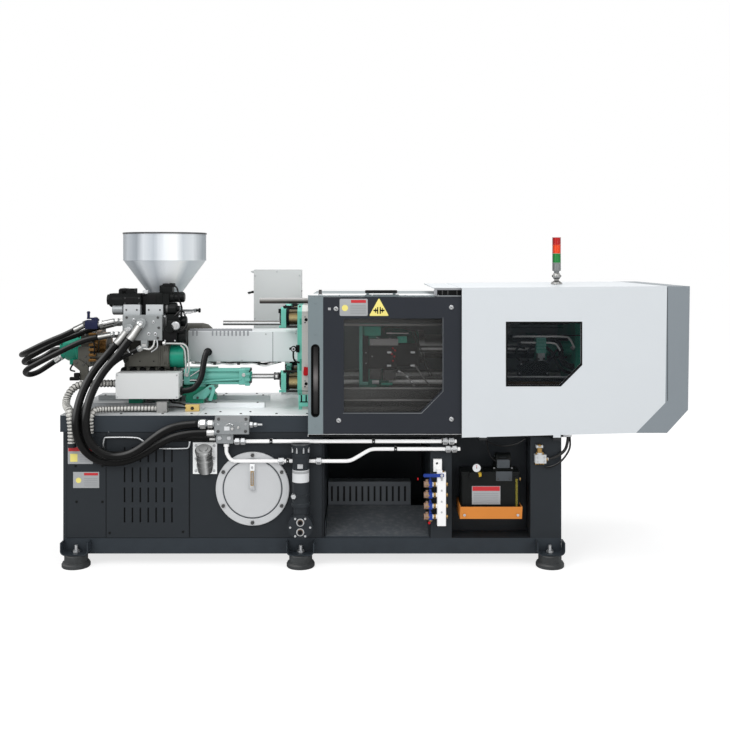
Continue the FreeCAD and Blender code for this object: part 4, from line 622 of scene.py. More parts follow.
class Workpiece:
    """One piece in the making. Parts are added to its mesh, each with its finish.

    Lengths are drawing millimetres: a place is the real one plus 30 mm of height.
    """

    def __init__(self):
        self.mesh = bmesh.new()
        self.finishes = []

    def add(self, part, finish_name, where=None):
        """Takes a part's mesh in, placed, with its finish."""
        if finish_name not in self.finishes:
            self.finishes.append(finish_name)
        index = self.finishes.index(finish_name)
        for face in part.faces:
            face.material_index = index
        bmesh.ops.transform(part, matrix=where or Matrix.Identity(4), verts=part.verts)
        keeper = bpy.data.meshes.new("part")
        part.to_mesh(keeper)
        part.free()
        self.mesh.from_mesh(keeper)
        bpy.data.meshes.remove(keeper)

    def block(self, low, high, finish_name, edge=1.0, turn=0.0, about=Z_AXIS):
        """A block between two corners, with rounded edges, turned about its own middle."""
        part = bmesh.new()
        size = [b - a for a, b in zip(low, high)]
        bmesh.ops.create_cube(part, size=1)
        bmesh.ops.scale(part, vec=size, verts=part.verts)
        if edge:
            width = min(edge, min(size) * 0.45)
            bmesh.ops.bevel(part, geom=part.edges[:], offset=width, segments=2, profile=0.6, affect="EDGES")
        middle = Matrix.Translation([(a + b) / 2 for a, b in zip(low, high)])
        self.add(part, finish_name, middle @ Matrix.Rotation(math.radians(turn), 4, about))

    def plate(self, x, z, face, finish_name, depth=0.8, edge=0.3):
        """A thin plate on a front face."""
        self.block((x[0], face - depth, z[0]), (x[1], face + 0.3, z[1]), finish_name, edge)

    def turned(self, profile, at, heading, finish_name, steps=32):
        """A part turned from (radius, height) pairs, with heights along the heading."""
        part = bmesh.new()
        rings = []
        closed = profile[0] == profile[-1]
        for radius, height in profile[:-1] if closed else profile:
            if radius <= 0:
                rings.append([part.verts.new((0, 0, height))])
                continue
            ring = []
            for step in range(steps):
                angle = 2 * math.pi * step / steps
                ring.append(part.verts.new((radius * math.cos(angle), radius * math.sin(angle), height)))
            rings.append(ring)
        if closed:
            rings.append(rings[0])
        for low, high in zip(rings, rings[1:]):
            for step in range(steps):
                after = (step + 1) % steps
                corners = [low[step % len(low)], low[after % len(low)], high[after % len(high)],
                           high[step % len(high)]]
                corners = list(dict.fromkeys(corners))
                if len(corners) > 2:
                    part.faces.new(corners)
        bmesh.ops.recalc_face_normals(part, faces=part.faces)
        self.add(part, finish_name, Matrix.Translation(at) @ square_to(heading))

    def ring(self, profile, *values):
        """A turned ring: its profile is joined end to start."""
        self.turned([*profile, profile[0]], *values)

    def rod(self, start, end, radius, finish_name, steps=24, edge=1.0):
        """A round bar between two points, with broken edges."""
        along = Vector(end) - Vector(start)
        edge = min(edge, radius * 0.3, along.length * 0.3)
        profile = [(0, 0), (radius - edge, 0), (radius, edge), (radius, along.length - edge),
                   (radius - edge, along.length), (0, along.length)]
        self.turned(profile, start, along, finish_name, steps)

    def slab(self, outline, low, high, finish_name, edge=1.0, hole=None):
        """An upright plate cut to an outline of (x, z) pairs, between two y limits."""
        part = bmesh.new()
        loops = [outline] + ([hole] if hole else [])
        sides = []
        for loop in loops:
            bottom = [part.verts.new((x, low, z)) for x, z in loop]
            top = [part.verts.new((x, high, z)) for x, z in loop]
            sides.append((bottom, top))
            for i in range(len(loop)):
                j = (i + 1) % len(loop)
                part.faces.new((bottom[i], bottom[j], top[j], top[i]))
        if hole:
            (outer_low, outer_high), (inner_low, inner_high) = sides
            for outer, inner in ((outer_low, inner_low), (outer_high, inner_high)):
                for i in range(len(outline)):
                    j = (i + 1) % len(outline)
                    part.faces.new((outer[i], outer[j], inner[j], inner[i]))
        else:
            part.faces.new(sides[0][0])
            part.faces.new(sides[0][1])
        bmesh.ops.recalc_face_normals(part, faces=part.faces)
        if edge:
            sharp = [e for e in part.edges if len(e.link_faces) == 2 and e.calc_face_angle(0) > 0.5]
            bmesh.ops.bevel(part, geom=sharp, offset=edge, segments=2, profile=0.6, affect="EDGES")
        self.add(part, finish_name)

    def line(self, points, radius, finish_name, steps=10, smooth=True):
        """A bent pipe or cable along points, with closed ends."""
        path = curve_points(points, smooth)
        part = bmesh.new()
        rings = tube_rings(part, path, [radius] * len(path), steps)
        part.faces.new(rings[0][::-1])
        part.faces.new(rings[-1])
        self.add(part, finish_name)

    def screw(self, at, heading, radius, finish_name="dark steel", height=None, hex_head=False):
        """A socket screw, or a hexagon head, that stands on a face."""
        heading = Vector(heading).normalized()
        height = height or radius * 0.9
        if hex_head:
            profile = [(radius * 0.86, 0), (radius, height * 0.08), (radius, height * 0.82),
                       (radius * 0.86, height), (0, height)]
            self.turned(profile, at, heading, finish_name, 6)
            return
        profile = [(radius, 0), (radius, height * 0.8), (radius * 0.86, height), (radius * 0.5, height),
                   (radius * 0.46, height * 0.5), (0, height * 0.45)]
        self.turned(profile, at, heading, finish_name, 18)

    def front_screws(self, face, places, radius, finish_name, height):
        """Socket screws on a front face at (x, z) places."""
        for x, z in places:
            self.screw((x, face, z), FRONT, radius, finish_name, height)

    def nut(self, at, heading, radius, length, finish_name="zinc"):
        """A hexagon union nut with chamfered ends, centred on a line."""
        profile = [(0, -length / 2), (radius * 0.88, -length / 2), (radius, -length * 0.4),
                   (radius, length * 0.4), (radius * 0.88, length / 2), (0, length / 2)]
        self.turned(profile, at, heading, finish_name, 6)

    def finish(self, name, body, slot=None, replaces=()):
        """Makes the piece: it rides on its body and stands for the nodes it replaces."""
        for edge in self.mesh.edges:
            edge.smooth = len(edge.link_faces) == 2 and edge.calc_face_angle(math.pi) < SMOOTH_BELOW
        for face in self.mesh.faces:
            face.smooth = True
        bmesh.ops.translate(self.mesh, vec=(0, 0, -FLOOR_Z), verts=self.mesh.verts)
        bmesh.ops.scale(self.mesh, vec=(0.001, 0.001, 0.001), verts=self.mesh.verts)
        data = bpy.data.meshes.new(name)
        self.mesh.to_mesh(data)
        self.mesh.free()
        for finish_name in self.finishes:
            data.materials.append(finish(finish_name))
        made = bpy.data.objects.new(name, data)
        bpy.context.scene.collection.objects.link(made)
        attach(made, body)
        if replaces:
            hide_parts(*replaces)


def on_circle(count, radius, first=0, centre=(0, 0)):
    """Places evenly round a circle, from a first angle in degrees."""
    for step in range(count):
        turn = math.radians(first + 360 / count * step)
        yield centre[0] + radius * math.cos(turn), centre[1] + radius * math.sin(turn)


def pane_outline(inset):
    """The gate window's outline with its cut corner, moved in by a margin."""
    x0, x1, z0, z1, cut = -105 + inset, 450 - inset, 867 + inset, 1397 - inset, 122
    return [(x0, z0), (x1 - cut, z0), (x1, z0 + cut), (x1, z1), (x0, z1)]


def cover_pane_outline(inset):
    """The clamp cover window's outline with its cut corner, moved in by a margin."""
    x0, x1, z0, z1, cut = 784 + inset, 1196 - inset, 1021 + inset, 1370 - inset, 116
    return [(x0, z0), (x1 - cut, z0), (x1, z0 + cut), (x1, z1), (x0, z1)]


def rounded(*corners, radius=9):
    """An outline with its corners rounded off."""
    places = []
    for i, corner in enumerate(corners):
        here = Vector(corner)
        before = (Vector(corners[i - 1]) - here).normalized() * radius
        after = (Vector(corners[(i + 1) % len(corners)]) - here).normalized() * radius
        for step in range(5):
            part = step / 4
            places.append(tuple(here + before * (1 - part) ** 2 + after * part ** 2))
    return places


def rounded_slot(x0, x1, z0, z1, radius):
    """The outline of an upright slot with round corners."""
    places = []
    for x, z, start in ((x1 - radius, z1 - radius, 0), (x0 + radius, z1 - radius, 90),
                        (x0 + radius, z0 + radius, 180), (x1 - radius, z0 + radius, 270)):
        for step in range(5):
            turn = math.radians(start + 22.5 * step)
            places.append((x + radius * math.cos(turn), z + radius * math.sin(turn)))
    return places


def nurbs(name, points):
    """A smooth curve with the points as its control points."""
    curve = bpy.data.curves.new(name, "CURVE")
    curve.dimensions = "3D"
    spline = curve.splines.new("NURBS")
    spline.points.add(len(points) - 1)
    for point, place in zip(spline.points, points):
        point.co = (*place, 1)
    spline.order_u = 3
    spline.use_endpoint_u = True
    spline.resolution_u = 8
    return curve


def read_curve(curve):
    """The points that a curve runs through, in order, and nothing left behind."""
    holder = bpy.data.objects.new("holder", curve)
    bpy.context.scene.collection.objects.link(holder)
    mesh = bpy.data.meshes.new_from_object(holder)
    points = [vertex.co.copy() for vertex in mesh.vertices]
    bpy.data.objects.remove(holder)
    bpy.data.meshes.remove(mesh)
    return points


def curve_points(points, smooth=True):
    if not smooth:
        return [Vector(p) for p in points]
    curve = nurbs("line", points)
    found = read_curve(curve)
    bpy.data.curves.remove(curve)
    return found


def tube_rings(part, path, radii, steps):
    """Rings of a tube along a path, each turned on from the one before so that the tube has no twist."""
    rings, side = [], None
    for i, place in enumerate(path):
        ahead = (path[min(i + 1, len(path) - 1)] - path[max(i - 1, 0)]).normalized()
        if side is None:
            side = ahead.orthogonal().normalized()
        side = (side - ahead * side.dot(ahead)).normalized()
        across = ahead.cross(side)
        ring = []
        for step in range(steps):
            angle = 2 * math.pi * step / steps
            outward = side * math.cos(angle) + across * math.sin(angle)
            ring.append(part.verts.new(place + outward * radii[i]))
        rings.append(ring)
        if len(rings) > 1:
            low = rings[-2]
            for step in range(steps):
                after = (step + 1) % steps
                part.faces.new((low[step], low[after], ring[after], ring[step]))
    return rings


def even_path(points, gap):
    """Points at an even gap along a line of points."""
    lengths = [0.0]
    for a, b in zip(points, points[1:]):
        lengths.append(lengths[-1] + (b - a).length)
    count = max(2, round(lengths[-1] / gap))
    even, i = [], 0
    for step in range(count + 1):
        want = lengths[-1] * step / count
        while i < len(points) - 2 and lengths[i + 1] < want:
            i += 1
        part = (want - lengths[i]) / max(1e-9, lengths[i + 1] - lengths[i])
        even.append(points[i].lerp(points[i + 1], min(1.0, part)))
    return even


# ---------------------------------------------------------------- routes of the loose lines, in millimetres

SUPPLY_ROUTE = (
    (-1308.3, -294.1, 1254.5), (-1367.7, -310.7, 1168.2), (-1441, -345, 1084), (-1485, -412, 982),
    (-1494, -490, 900), (-1496, -512, 817), (-1479, -516, 731), (-1427, -516, 669), (-1349, -516, 639),
    (-1268, -516, 647), (-1200, -517, 680), (-1133, -514, 733), (-1064, -507, 783), (-975, -484, 808),
    (-887.5, -482, 811.9),
)
RETURN_ROUTE = (
    (-1385.1, -280.1, 1229.7), (-1441, -284, 1163), (-1502, -330, 1083), (-1541, -404, 981),
    (-1551, -474, 892), (-1551, -506, 816), (-1537, -508, 730), (-1496, -494, 657), (-1435, -478, 612),
    (-1360, -473, 598), (-1278, -473, 609), (-1213, -475, 635), (-1152, -482, 669), (-1096, -486, 708),
    (-1030, -488, 741), (-960, -484, 757), (-890, -480, 764), (-810, -480, 764),
)
DRAIN_ROUTE = ((-1270.9, -262, 1195.5), (-1326, -262, 1168), (-1400, -274, 1128), (-1462, -304, 1048),
               (-1500, -340, 972), (-1519, -398, 914), (-1524, -450, 882), (-1526, -462, 812),
               (-1522, -456, 738), (-1498, -451, 690), (-1440, -449, 655), (-1372, -449, 640),
               (-1284, -449, 646), (-1216, -449, 672), (-1147, -449, 706), (-1076, -449, 719),
               (-994, -450, 722), (-906, -452, 726), (-810, -452, 726),)
VALVE_LOOP_ROUTE = (
    (-1646, -205, 1302.7), (-1706, -205, 1272), (-1783, -205, 1242), (-1864, -205, 1204),
    (-1915, -190, 1179), (-1968, -140, 1158), (-2000, -66, 1145), (-1985, 8, 1147), (-1940, 62, 1158),
    (-1890, 70, 1182), (-1838, 70, 1206), (-1780.5, 70, 1206),
)
MIDDLE_LOOP_ROUTE = (
    (-1512.5, -150, 1315.9), (-1571, -150, 1302.2), (-1642, -150, 1272), (-1725, -150, 1243),
    (-1804, -150, 1206), (-1883, -150, 1164), (-1928, -136, 1140), (-1972, -98, 1115), (-1988, -50, 1098),
    (-1966, -2, 1094), (-1918, 20, 1113), (-1868, 20, 1142), (-1832, 20, 1172), (-1780.5, 20, 1172),
)
LOWER_LOOP_ROUTE = (
    (-1508.6, -205, 1261.9), (-1567, -205, 1251.5), (-1631, -205, 1226), (-1708, -205, 1188),
    (-1786, -205, 1149), (-1864, -205, 1108), (-1911, -192, 1084), (-1946, -158, 1060),
    (-1956, -116, 1041), (-1944, -74, 1030), (-1911, -44, 1040), (-1867, -40, 1068),
    (-1809.8, -40, 1106.6),
)
DRIVE_CONDUIT_ROUTE = (
    (-1392, -262, 1004), (-1500, -262, 1004), (-1556, -263, 1003), (-1610, -268, 995),
    (-1646, -282, 964), (-1660, -308, 924), (-1650, -348, 898), (-1630, -392, 887), (-1608, -430, 886),
    (-1594, -462, 866), (-1588, -467, 824), (-1583, -463, 780), (-1583, -463, 703),
)
BED_CONDUIT_ROUTE = (
    (-1142, -330, 872), (-1194, -330, 872), (-1246, -331, 872), (-1298, -333, 872), (-1350, -340, 872),
    (-1398, -354, 873), (-1434, -382, 876), (-1456, -412, 880), (-1472, -446, 877), (-1480, -466, 848),
    (-1482, -464, 812), (-1482, -460, 786), (-1482, -460, 758),
)
HEATER_CONDUIT_ROUTE = (
    (-898, -98, 1166), (-898, -140, 1166), (-899, -176, 1158), (-903, -202, 1128), (-908, -216, 1082),
    (-914, -230, 1036), (-932, -244, 996), (-968, -256, 962), (-1020, -256, 962),
)
BED_CABLE_ROUTE = (
    (-1082, -330, 882), (-1050, -330, 882), (-1014, -326, 878), (-980, -312, 872), (-962, -286, 868),
    (-972, -258, 870), (-1004, -244, 880), (-1040, -242, 890), (-1076, -244, 892), (-1094, -246, 906),
    (-1096, -246, 924.5),
)
GREASE_ROUTE = (
    (674, -440, 722), (700, -448, 706), (730, -452, 692), (779, -452, 682), (840, -450, 692),
    (876, -446, 706), (900, -440, 722),
)
MOTOR_LEAD_ROUTE = (
    (1010, -440, 566), (1046, -452, 572), (1092, -456, 600), (1124, -456, 640), (1142, -450, 672),
    (1146, -446, 700), (1144, -442, 736),
)


def route_line(route):
    """A route's smooth line in metres: the spline's own points and their length."""
    curve = nurbs("route", [placed(*point) for point in route])
    points = read_curve(curve)
    bpy.data.curves.remove(curve)
    return points, sum((b - a).length for a, b in zip(points, points[1:]))


def lay_cord(name, route, diameter, finish_name, body, replaces=(), blend=None, ribs=None):
    """A hose, conduit or cable on its route, as a mesh tube along the route's spline."""
    points, length = route_line(route)
    part = bmesh.new()
    if ribs:
        pitch, inner = ribs
        path, radii = [], []
        fine = even_path(points, pitch / 6)
        for i, point in enumerate(fine):
            swell = (0.0, 0.55, 1.0, 1.0, 0.55, 0.0)[i % 6]
            path.append(point)
            radii.append(inner + (diameter / 2 - inner) * swell)
        steps = 24
    else:
        path = even_path(points, diameter * 0.35)
        radii = [diameter / 2] * len(path)
        steps = 20
    rings = tube_rings(part, path, radii, steps)
    part.faces.new(rings[0][::-1])
    part.faces.new(rings[-1])
    for face in part.faces:
        face.smooth = True
    data = bpy.data.meshes.new(name)
    part.to_mesh(data)
    part.free()
    data.materials.append(finish(finish_name))
    made = bpy.data.objects.new(name, data)
    bpy.context.scene.collection.objects.link(made)
    if blend:
        placed(*blend[2])
        placed(*blend[3])
        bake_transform(made)
    else:
        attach(made, body)
    if replaces:
        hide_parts(*replaces)
    placed(*route[0])


# ---------------------------------------------------------------- operators

class MachineOperator:
    """What the machine's operators share."""
    bl_options = {"REGISTER", "UNDO"}

    def execute(self, context):
        self.make(context)
        return {"FINISHED"}


class MACHINE_OT_stage(MachineOperator, bpy.types.Operator):
    """Set up the floor, the lights and the camera"""
    bl_idname = "machine.stage"
    bl_label = "Stage"

    def make(self, context):
        scene = context.scene
        settings = scene.machine_stage
        scene.view_settings.view_transform = "Standard"
        world = bpy.data.worlds.new("studio")
        world.use_nodes = True
        tree = world.node_tree
        tree.nodes.clear()
        rays = tree.nodes.new("ShaderNodeLightPath")
        seen = tree.nodes.new("ShaderNodeMath")
        seen.operation = "ADD"
        seen.use_clamp = True
        seen_all = tree.nodes.new("ShaderNodeMath")
        seen_all.operation = "ADD"
        seen_all.use_clamp = True
        tree.links.new(rays.outputs["Is Camera Ray"], seen.inputs[0])
        tree.links.new(rays.outputs["Is Glossy Ray"], seen.inputs[1])
        tree.links.new(seen.outputs[0], seen_all.inputs[0])
        tree.links.new(rays.outputs["Is Transmission Ray"], seen_all.inputs[1])
        strength = tree.nodes.new("ShaderNodeMapRange")
        strength.inputs["To Min"].default_value = settings.daylight
        strength.inputs["To Max"].default_value = 1.0
        tree.links.new(seen_all.outputs[0], strength.inputs["Value"])
        background = tree.nodes.new("ShaderNodeBackground")
        background.inputs["Color"].default_value = (1, 1, 1, 1)
        tree.links.new(strength.outputs[0], background.inputs["Strength"])
        output = tree.nodes.new("ShaderNodeOutputWorld")
        tree.links.new(background.outputs[0], output.inputs["Surface"])
        scene.world = world

        floor_mesh = bmesh.new()
        bmesh.ops.create_grid(floor_mesh, x_segments=1, y_segments=1, size=60)
        data = bpy.data.meshes.new("floor")
        floor_mesh.to_mesh(data)
        floor_mesh.free()
        floor = bpy.data.objects.new("floor", data)
        scene.collection.objects.link(floor)
        made = Finish("floor")
        diffuse = made.node("ShaderNodeBsdfDiffuse", values={"Color": (0.42, 0.42, 0.42, 1)})
        glow = made.node("ShaderNodeEmission", values={"Color": (1, 1, 1, 1), "Strength": 0.74})
        both = made.node("ShaderNodeAddShader", values={0: diffuse, 1: glow})
        plain = made.node("ShaderNodeBsdfDiffuse", values={"Color": (0.8, 0.8, 0.8, 1)})
        path = made.node("ShaderNodeLightPath", output="Is Camera Ray")
        surface = made.node("ShaderNodeMixShader", values={0: path, 1: plain, 2: both})
        made.node("ShaderNodeOutputMaterial", values={"Surface": surface})
        data.materials.append(made.material)

        for name, place, aim, size, power in (
                ("key", (-3.2, -5.2, 4.6), (0.0, 0.0, 1.0), 3.2, 130),
                ("fill", (4.0, -5.6, 2.8), (0.2, 0.0, 0.9), 3.4, 60),
                ("top", (0.0, -0.4, 5.4), (0.0, 0.0, 0.0), 4.0, 110)):
            light = bpy.data.lights.new(name, "AREA")
            light.shape = "SQUARE"
            light.size = size
            light.energy = power
            lamp = bpy.data.objects.new(name, light)
            lamp.location = place
            lamp.rotation_euler = (Vector(place) - Vector(aim)).to_track_quat("Z", "Y").to_euler()
            scene.collection.objects.link(lamp)

        for name, middle, size in (("left flag", (-5.2, -4.2, 1.6), (0.1, 2.2, 4.0)),
                                   ("right flag", (5.4, -3.6, 1.6), (0.1, 2.6, 4.0)),
                                   ("camera flag", (0.0, -8.6, 1.6), (1.6, 0.1, 3.0))):
            card = bmesh.new()
            bmesh.ops.create_cube(card, size=1)
            bmesh.ops.scale(card, vec=size, verts=card.verts)
            bmesh.ops.translate(card, vec=middle, verts=card.verts)
            data = bpy.data.meshes.new(name)
            card.to_mesh(data)
            card.free()
            flag = bpy.data.objects.new(name.replace(" ", "_"), data)
            data.materials.append(finish("inner black"))
            scene.collection.objects.link(flag)
            flag.visible_camera = False
            flag.visible_diffuse = False
            flag.visible_shadow = False

        camera_data = bpy.data.cameras.new("camera")
        camera_data.lens = settings.lens
        camera_data.sensor_width = 36
        camera_data.shift_y = settings.rise
        camera = bpy.data.objects.new("camera", camera_data)
        camera.location = settings.camera
        camera.rotation_euler = (math.radians(90), 0, 0)
        scene.collection.objects.link(camera)
        scene.camera = camera


class MACHINE_OT_finishes(MachineOperator, bpy.types.Operator):
    """Give every part of the frame its finish"""
    bl_idname = "machine.finishes"
    bl_label = "Finishes"

    def make(self, context):
        for node, finish_name in NODE_FINISHES.items():
            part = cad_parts[node]
            part.data.materials.clear()
            part.data.materials.append(finish(finish_name))


class MACHINE_OT_hoses(MachineOperator, bpy.types.Operator):
    """Lay the hydraulic hoses"""
    bl_idname = "machine.hoses"
    bl_label = "Hoses"

    def make(self, context):
        sizes = context.scene.machine_sizes
        down = ("carriage", "base", (-1400, -300, 1220), (-1400, -300, 860))
        lay_cord("supply_hose", SUPPLY_ROUTE, sizes.hose, "hose rubber", "carriage", ("supply_hoses",),
                 down)
        lay_cord("return_hose", RETURN_ROUTE, sizes.hose, "hose rubber", "carriage", ("supply_hoses",),
                 down)
        lay_cord("drain_hose", DRAIN_ROUTE, 0.026, "hose rubber", "carriage", ("supply_hoses",),
                 down)
        loops = (("valve_loop", VALVE_LOOP_ROUTE, -200, 62), ("middle_loop", MIDDLE_LOOP_ROUTE, -147, 16),
                 ("lower_loop", LOWER_LOOP_ROUTE, -198, -46))
        for name, route, near, far in loops:
            lay_cord(name, route, sizes.loop, "hose rubber", "drive", ("motor_hoses",),
                     ("carriage", "drive", (-1900, near, 1150), (-1900, far, 1150)))


class MACHINE_OT_conduits(MachineOperator, bpy.types.Operator):
    """Lay the conduits and the thin cable"""
    bl_idname = "machine.conduits"
    bl_label = "Conduits and cables"

    def make(self, context):
        sizes = context.scene.machine_sizes
        lay_cord("drive_line", DRIVE_CONDUIT_ROUTE, sizes.conduit, "conduit metal", "carriage",
                 ("drive_conduit",), ("carriage", "base", (-1600, -300, 1004),
                                                       (-1600, -300, 730)), (0.019, 0.018))
        lay_cord("bed_line", BED_CONDUIT_ROUTE, sizes.bed_conduit, "conduit metal", "base",
                 ("bed_conduit",), None, (0.019, 0.0145))
        lay_cord("heater_line", HEATER_CONDUIT_ROUTE, 0.036, "lead rubber", "carriage", ("heater_conduit",),
                 None, (0.0065, 0.0166))
        lay_cord("bed_lead", BED_CABLE_ROUTE, 0.010, "lead rubber", "base", ("bed_cable",),
                 ("base", "carriage", (-1000, -326, 880), (-1000, -247, 880)))


class MACHINE_OT_feet(MachineOperator, bpy.types.Operator):
    """Fit the steel cups, bolts and nuts of the levelling feet"""
    bl_idname = "machine.feet"
    bl_label = "Levelling feet"

    def make(self, context):
        piece = Workpiece()
        for x in FOOT_X:
            for y in FOOT_Y:
                cup = [(0, 58), (70, 52.5), (73.4, 53), (72, 57), (64, 60), (63, 64), (63, 94), (60, 97),
                       (0, 97)]
                piece.turned(cup, (x, y, 0), Z_AXIS, "foot rubber", 40)
                piece.rod((x, y, 66), (x, y, 145), 9.6, "zinc", 20)
                piece.nut((x, y, 91), Z_AXIS, 19.9, 14.6)
                piece.nut((x, y, 111), Z_AXIS, 19.9, 14.6)
        piece.finish("feet_bolts", "base")


class MACHINE_OT_panels(MachineOperator, bpy.types.Operator):
    """Fit the base panels' screws, labels, seams and handrail, and a black sheet behind the louvres as
    painted shade
    """
    bl_idname = "machine.panels"
    bl_label = "Base panels"

    def make(self, context):
        piece = Workpiece()
        face = PANEL_FACE
        piece.front_screws(face, ((-1570, 573), (-1423, 573), (-1565, 376), (-1423, 376), (-1383, 205),
                                  (-980, 211), (-1383, 735), (-980, 735)), 6.5, "black plastic", 3)
        piece.plate((-1613, -1476), (584, 678), face, "label grey")
        piece.plate((-1610, -1479), (654, 676), face - 0.7, "label red")
        piece.plate((-1600, -1560), (596, 640), face - 0.7, "label yellow")
        piece.plate((-1584, -1441), (452, 540), face, "label grey")
        piece.plate((-1524, -1447), (521, 535), face - 0.7, "label red")
        piece.rod((-1554, face, 494), (-1554, face - 1.6, 494), 15, "label yellow", 24, 0.3)
        for row in range(5):
            piece.plate((-1548, -1484), (598 + 9 * row, 601 + 9 * row), face - 0.7, "cabinet shade")
            piece.plate((-1524, -1450), (462 + 10 * row, 465 + 10 * row), face - 0.7, "cabinet shade")
        # painted shade: a black sheet behind the louvre slots
        piece.block((-1322, -428, 240), (-1018, -424, 700), "inner black")
        piece.line([(-1416, -428, 668), (-1416, -448, 680), (-1411, -448, 729), (-1394, -448, 733),
                    (-1235, -448, 733), (-1208, -448, 721), (-1180, -448, 696), (-1126, -448, 671),
                    (-961, -448, 671), (-945, -448, 677), (-941, -448, 713), (-941, -434, 740)], 5, "zinc")
        piece.finish("panel_fittings", "base")

        seams = Workpiece()
        for x in (-1403, -944.5, -210):
            seams.block((x - 1.6, -431.4, 179), (x + 1.6, -429.5, 757), "inner black", 0)
        for x in (-1500, -700, 300, 900):
            seams.screw((x, -430, 806), FRONT, 7, "base paint", 2.5)
        seams.finish("base_seams", "base")


class MACHINE_OT_bed(MachineOperator, bpy.types.Operator):
    """Fit the bed's screws and the ochre stop block"""
    bl_idname = "machine.bed"
    bl_label = "Bed fittings"

    def make(self, context):
        piece = Workpiece()
        for x in (-1560, -1330, -1100, -940, -861, -667, -470, -300):
            for y in (-395, 395):
                piece.screw((x, y, BED_TOP), Z_AXIS, 7, "dark steel", 4)
        for x, y in ((-790, -330), (-622, -330), (-790, -60), (-622, -60)):
            piece.screw((x, y, BED_TOP), Z_AXIS, 6, "dark steel", 4)
        piece.block((-991, -318, BED_TOP), (-913, -284, 890), "ochre paint", 3)
        piece.rod((-950, -318, 872), (-950, -324, 872), 9, "black plastic", 20)
        piece.rod((-950, -324, 872), (-950, -330, 872), 4, "dark steel", 16)
        for x in (-1560, -1200, -840, -600):
            for y in (-150, 150):
                piece.screw((x, y - 13, 880), Z_AXIS, 6, "dark steel", 4)
        piece.finish("bed_fittings", "base")


class MACHINE_OT_tank(MachineOperator, bpy.types.Operator):
    """Fit the tank's cover bolts, level gauge and filler"""
    bl_idname = "machine.tank"
    bl_label = "Oil tank fittings"

    def make(self, context):
        piece = Workpiece()
        for x, z in on_circle(6, 185, 90, (TANK_X, TANK_Z)):
            piece.turned([(0, 0), (14, 0), (14, 1.6), (0, 1.6)], (x, -443.5, z), FRONT, "zinc", 24)
            piece.screw((x, -445, z), FRONT, 10.5, "dark steel", 8.6, True)
        groove = [(157.6, 0), (164.4, 0), (164.4, 0.7), (157.6, 0.7)]
        piece.ring(groove, (TANK_X, -440, TANK_Z), FRONT, "grey plastic", 72)
        rim = [(199, -1), (202, -1), (202, 12), (199, 14.4), (195, 14.4)]
        piece.ring(rim, (TANK_X, -430, TANK_Z), FRONT, "tank cover paint", 72)
        piece.block((-610.5, -463.5, 552), (-583.5, -443, 590), "white paint", 4)
        piece.block((-610.5, -463.5, 446), (-583.5, -443, 468), "zinc", 4)
        piece.block((-606, -463, 470), (-588, -458, 551), "brass", 2)
        piece.block((-600, -464, 476), (-594, -462.5, 545), "label grey", 0.5)
        for row in range(6):
            piece.block((-606, -463.6, 478 + 11 * row), (-588, -462.8, 481 + 11 * row), "dark steel", 0.2)
        for z in (571, 457):
            piece.screw((-597, -463.5, z), FRONT, 6.5, "zinc", 4)
        piece.finish("tank_fittings", "base")

        filler = Workpiece()
        filler.plate((-924.6, -792.4), (530.6, 703.4), -440, "white paint", 0.8)
        filler.front_screws(-440.8, ((-908, 686), (-908, 616), (-908, 548), (-858, 543), (-808, 548),
                                     (-808, 616), (-808, 686)), 7, "zinc", 4.5)
        tilt = Vector((0, -0.5, 0.866))
        foot = Vector((-858, -440, 585))
        top = foot + tilt * 88
        for low, high, radius in ((-6, 4, 46), (34, 41, 45.5), (66, 71, 43.5), (84, 88, 43.5)):
            ring = [(radius - 6, low), (radius, low), (radius, high), (radius - 6, high)]
            filler.ring(ring, foot, tilt, "filler grey", 40)
        knurl = [(45.5, 0.5)]
        for row in range(6):
            knurl += [(46.6, 1.5 + 2 * row), (45.9, 2.5 + 2 * row)]
        knurl += [(40, 20.4), (24, 20.6), (22, 24), (0, 24.6)]
        filler.turned([(0, 0)] + knurl, top, tilt, "filler grey", 48)
        for step in range(20):
            turn = 2 * math.pi * step / 20
            across = Vector((math.cos(turn), 0.866 * math.sin(turn), 0.5 * math.sin(turn)))
            low = top + across * 45.6 + tilt * 2
            filler.rod(low, low + tilt * 11, 1.8, "satin chrome", 8, 0.3)
        filler.finish("filler_fittings", "base")


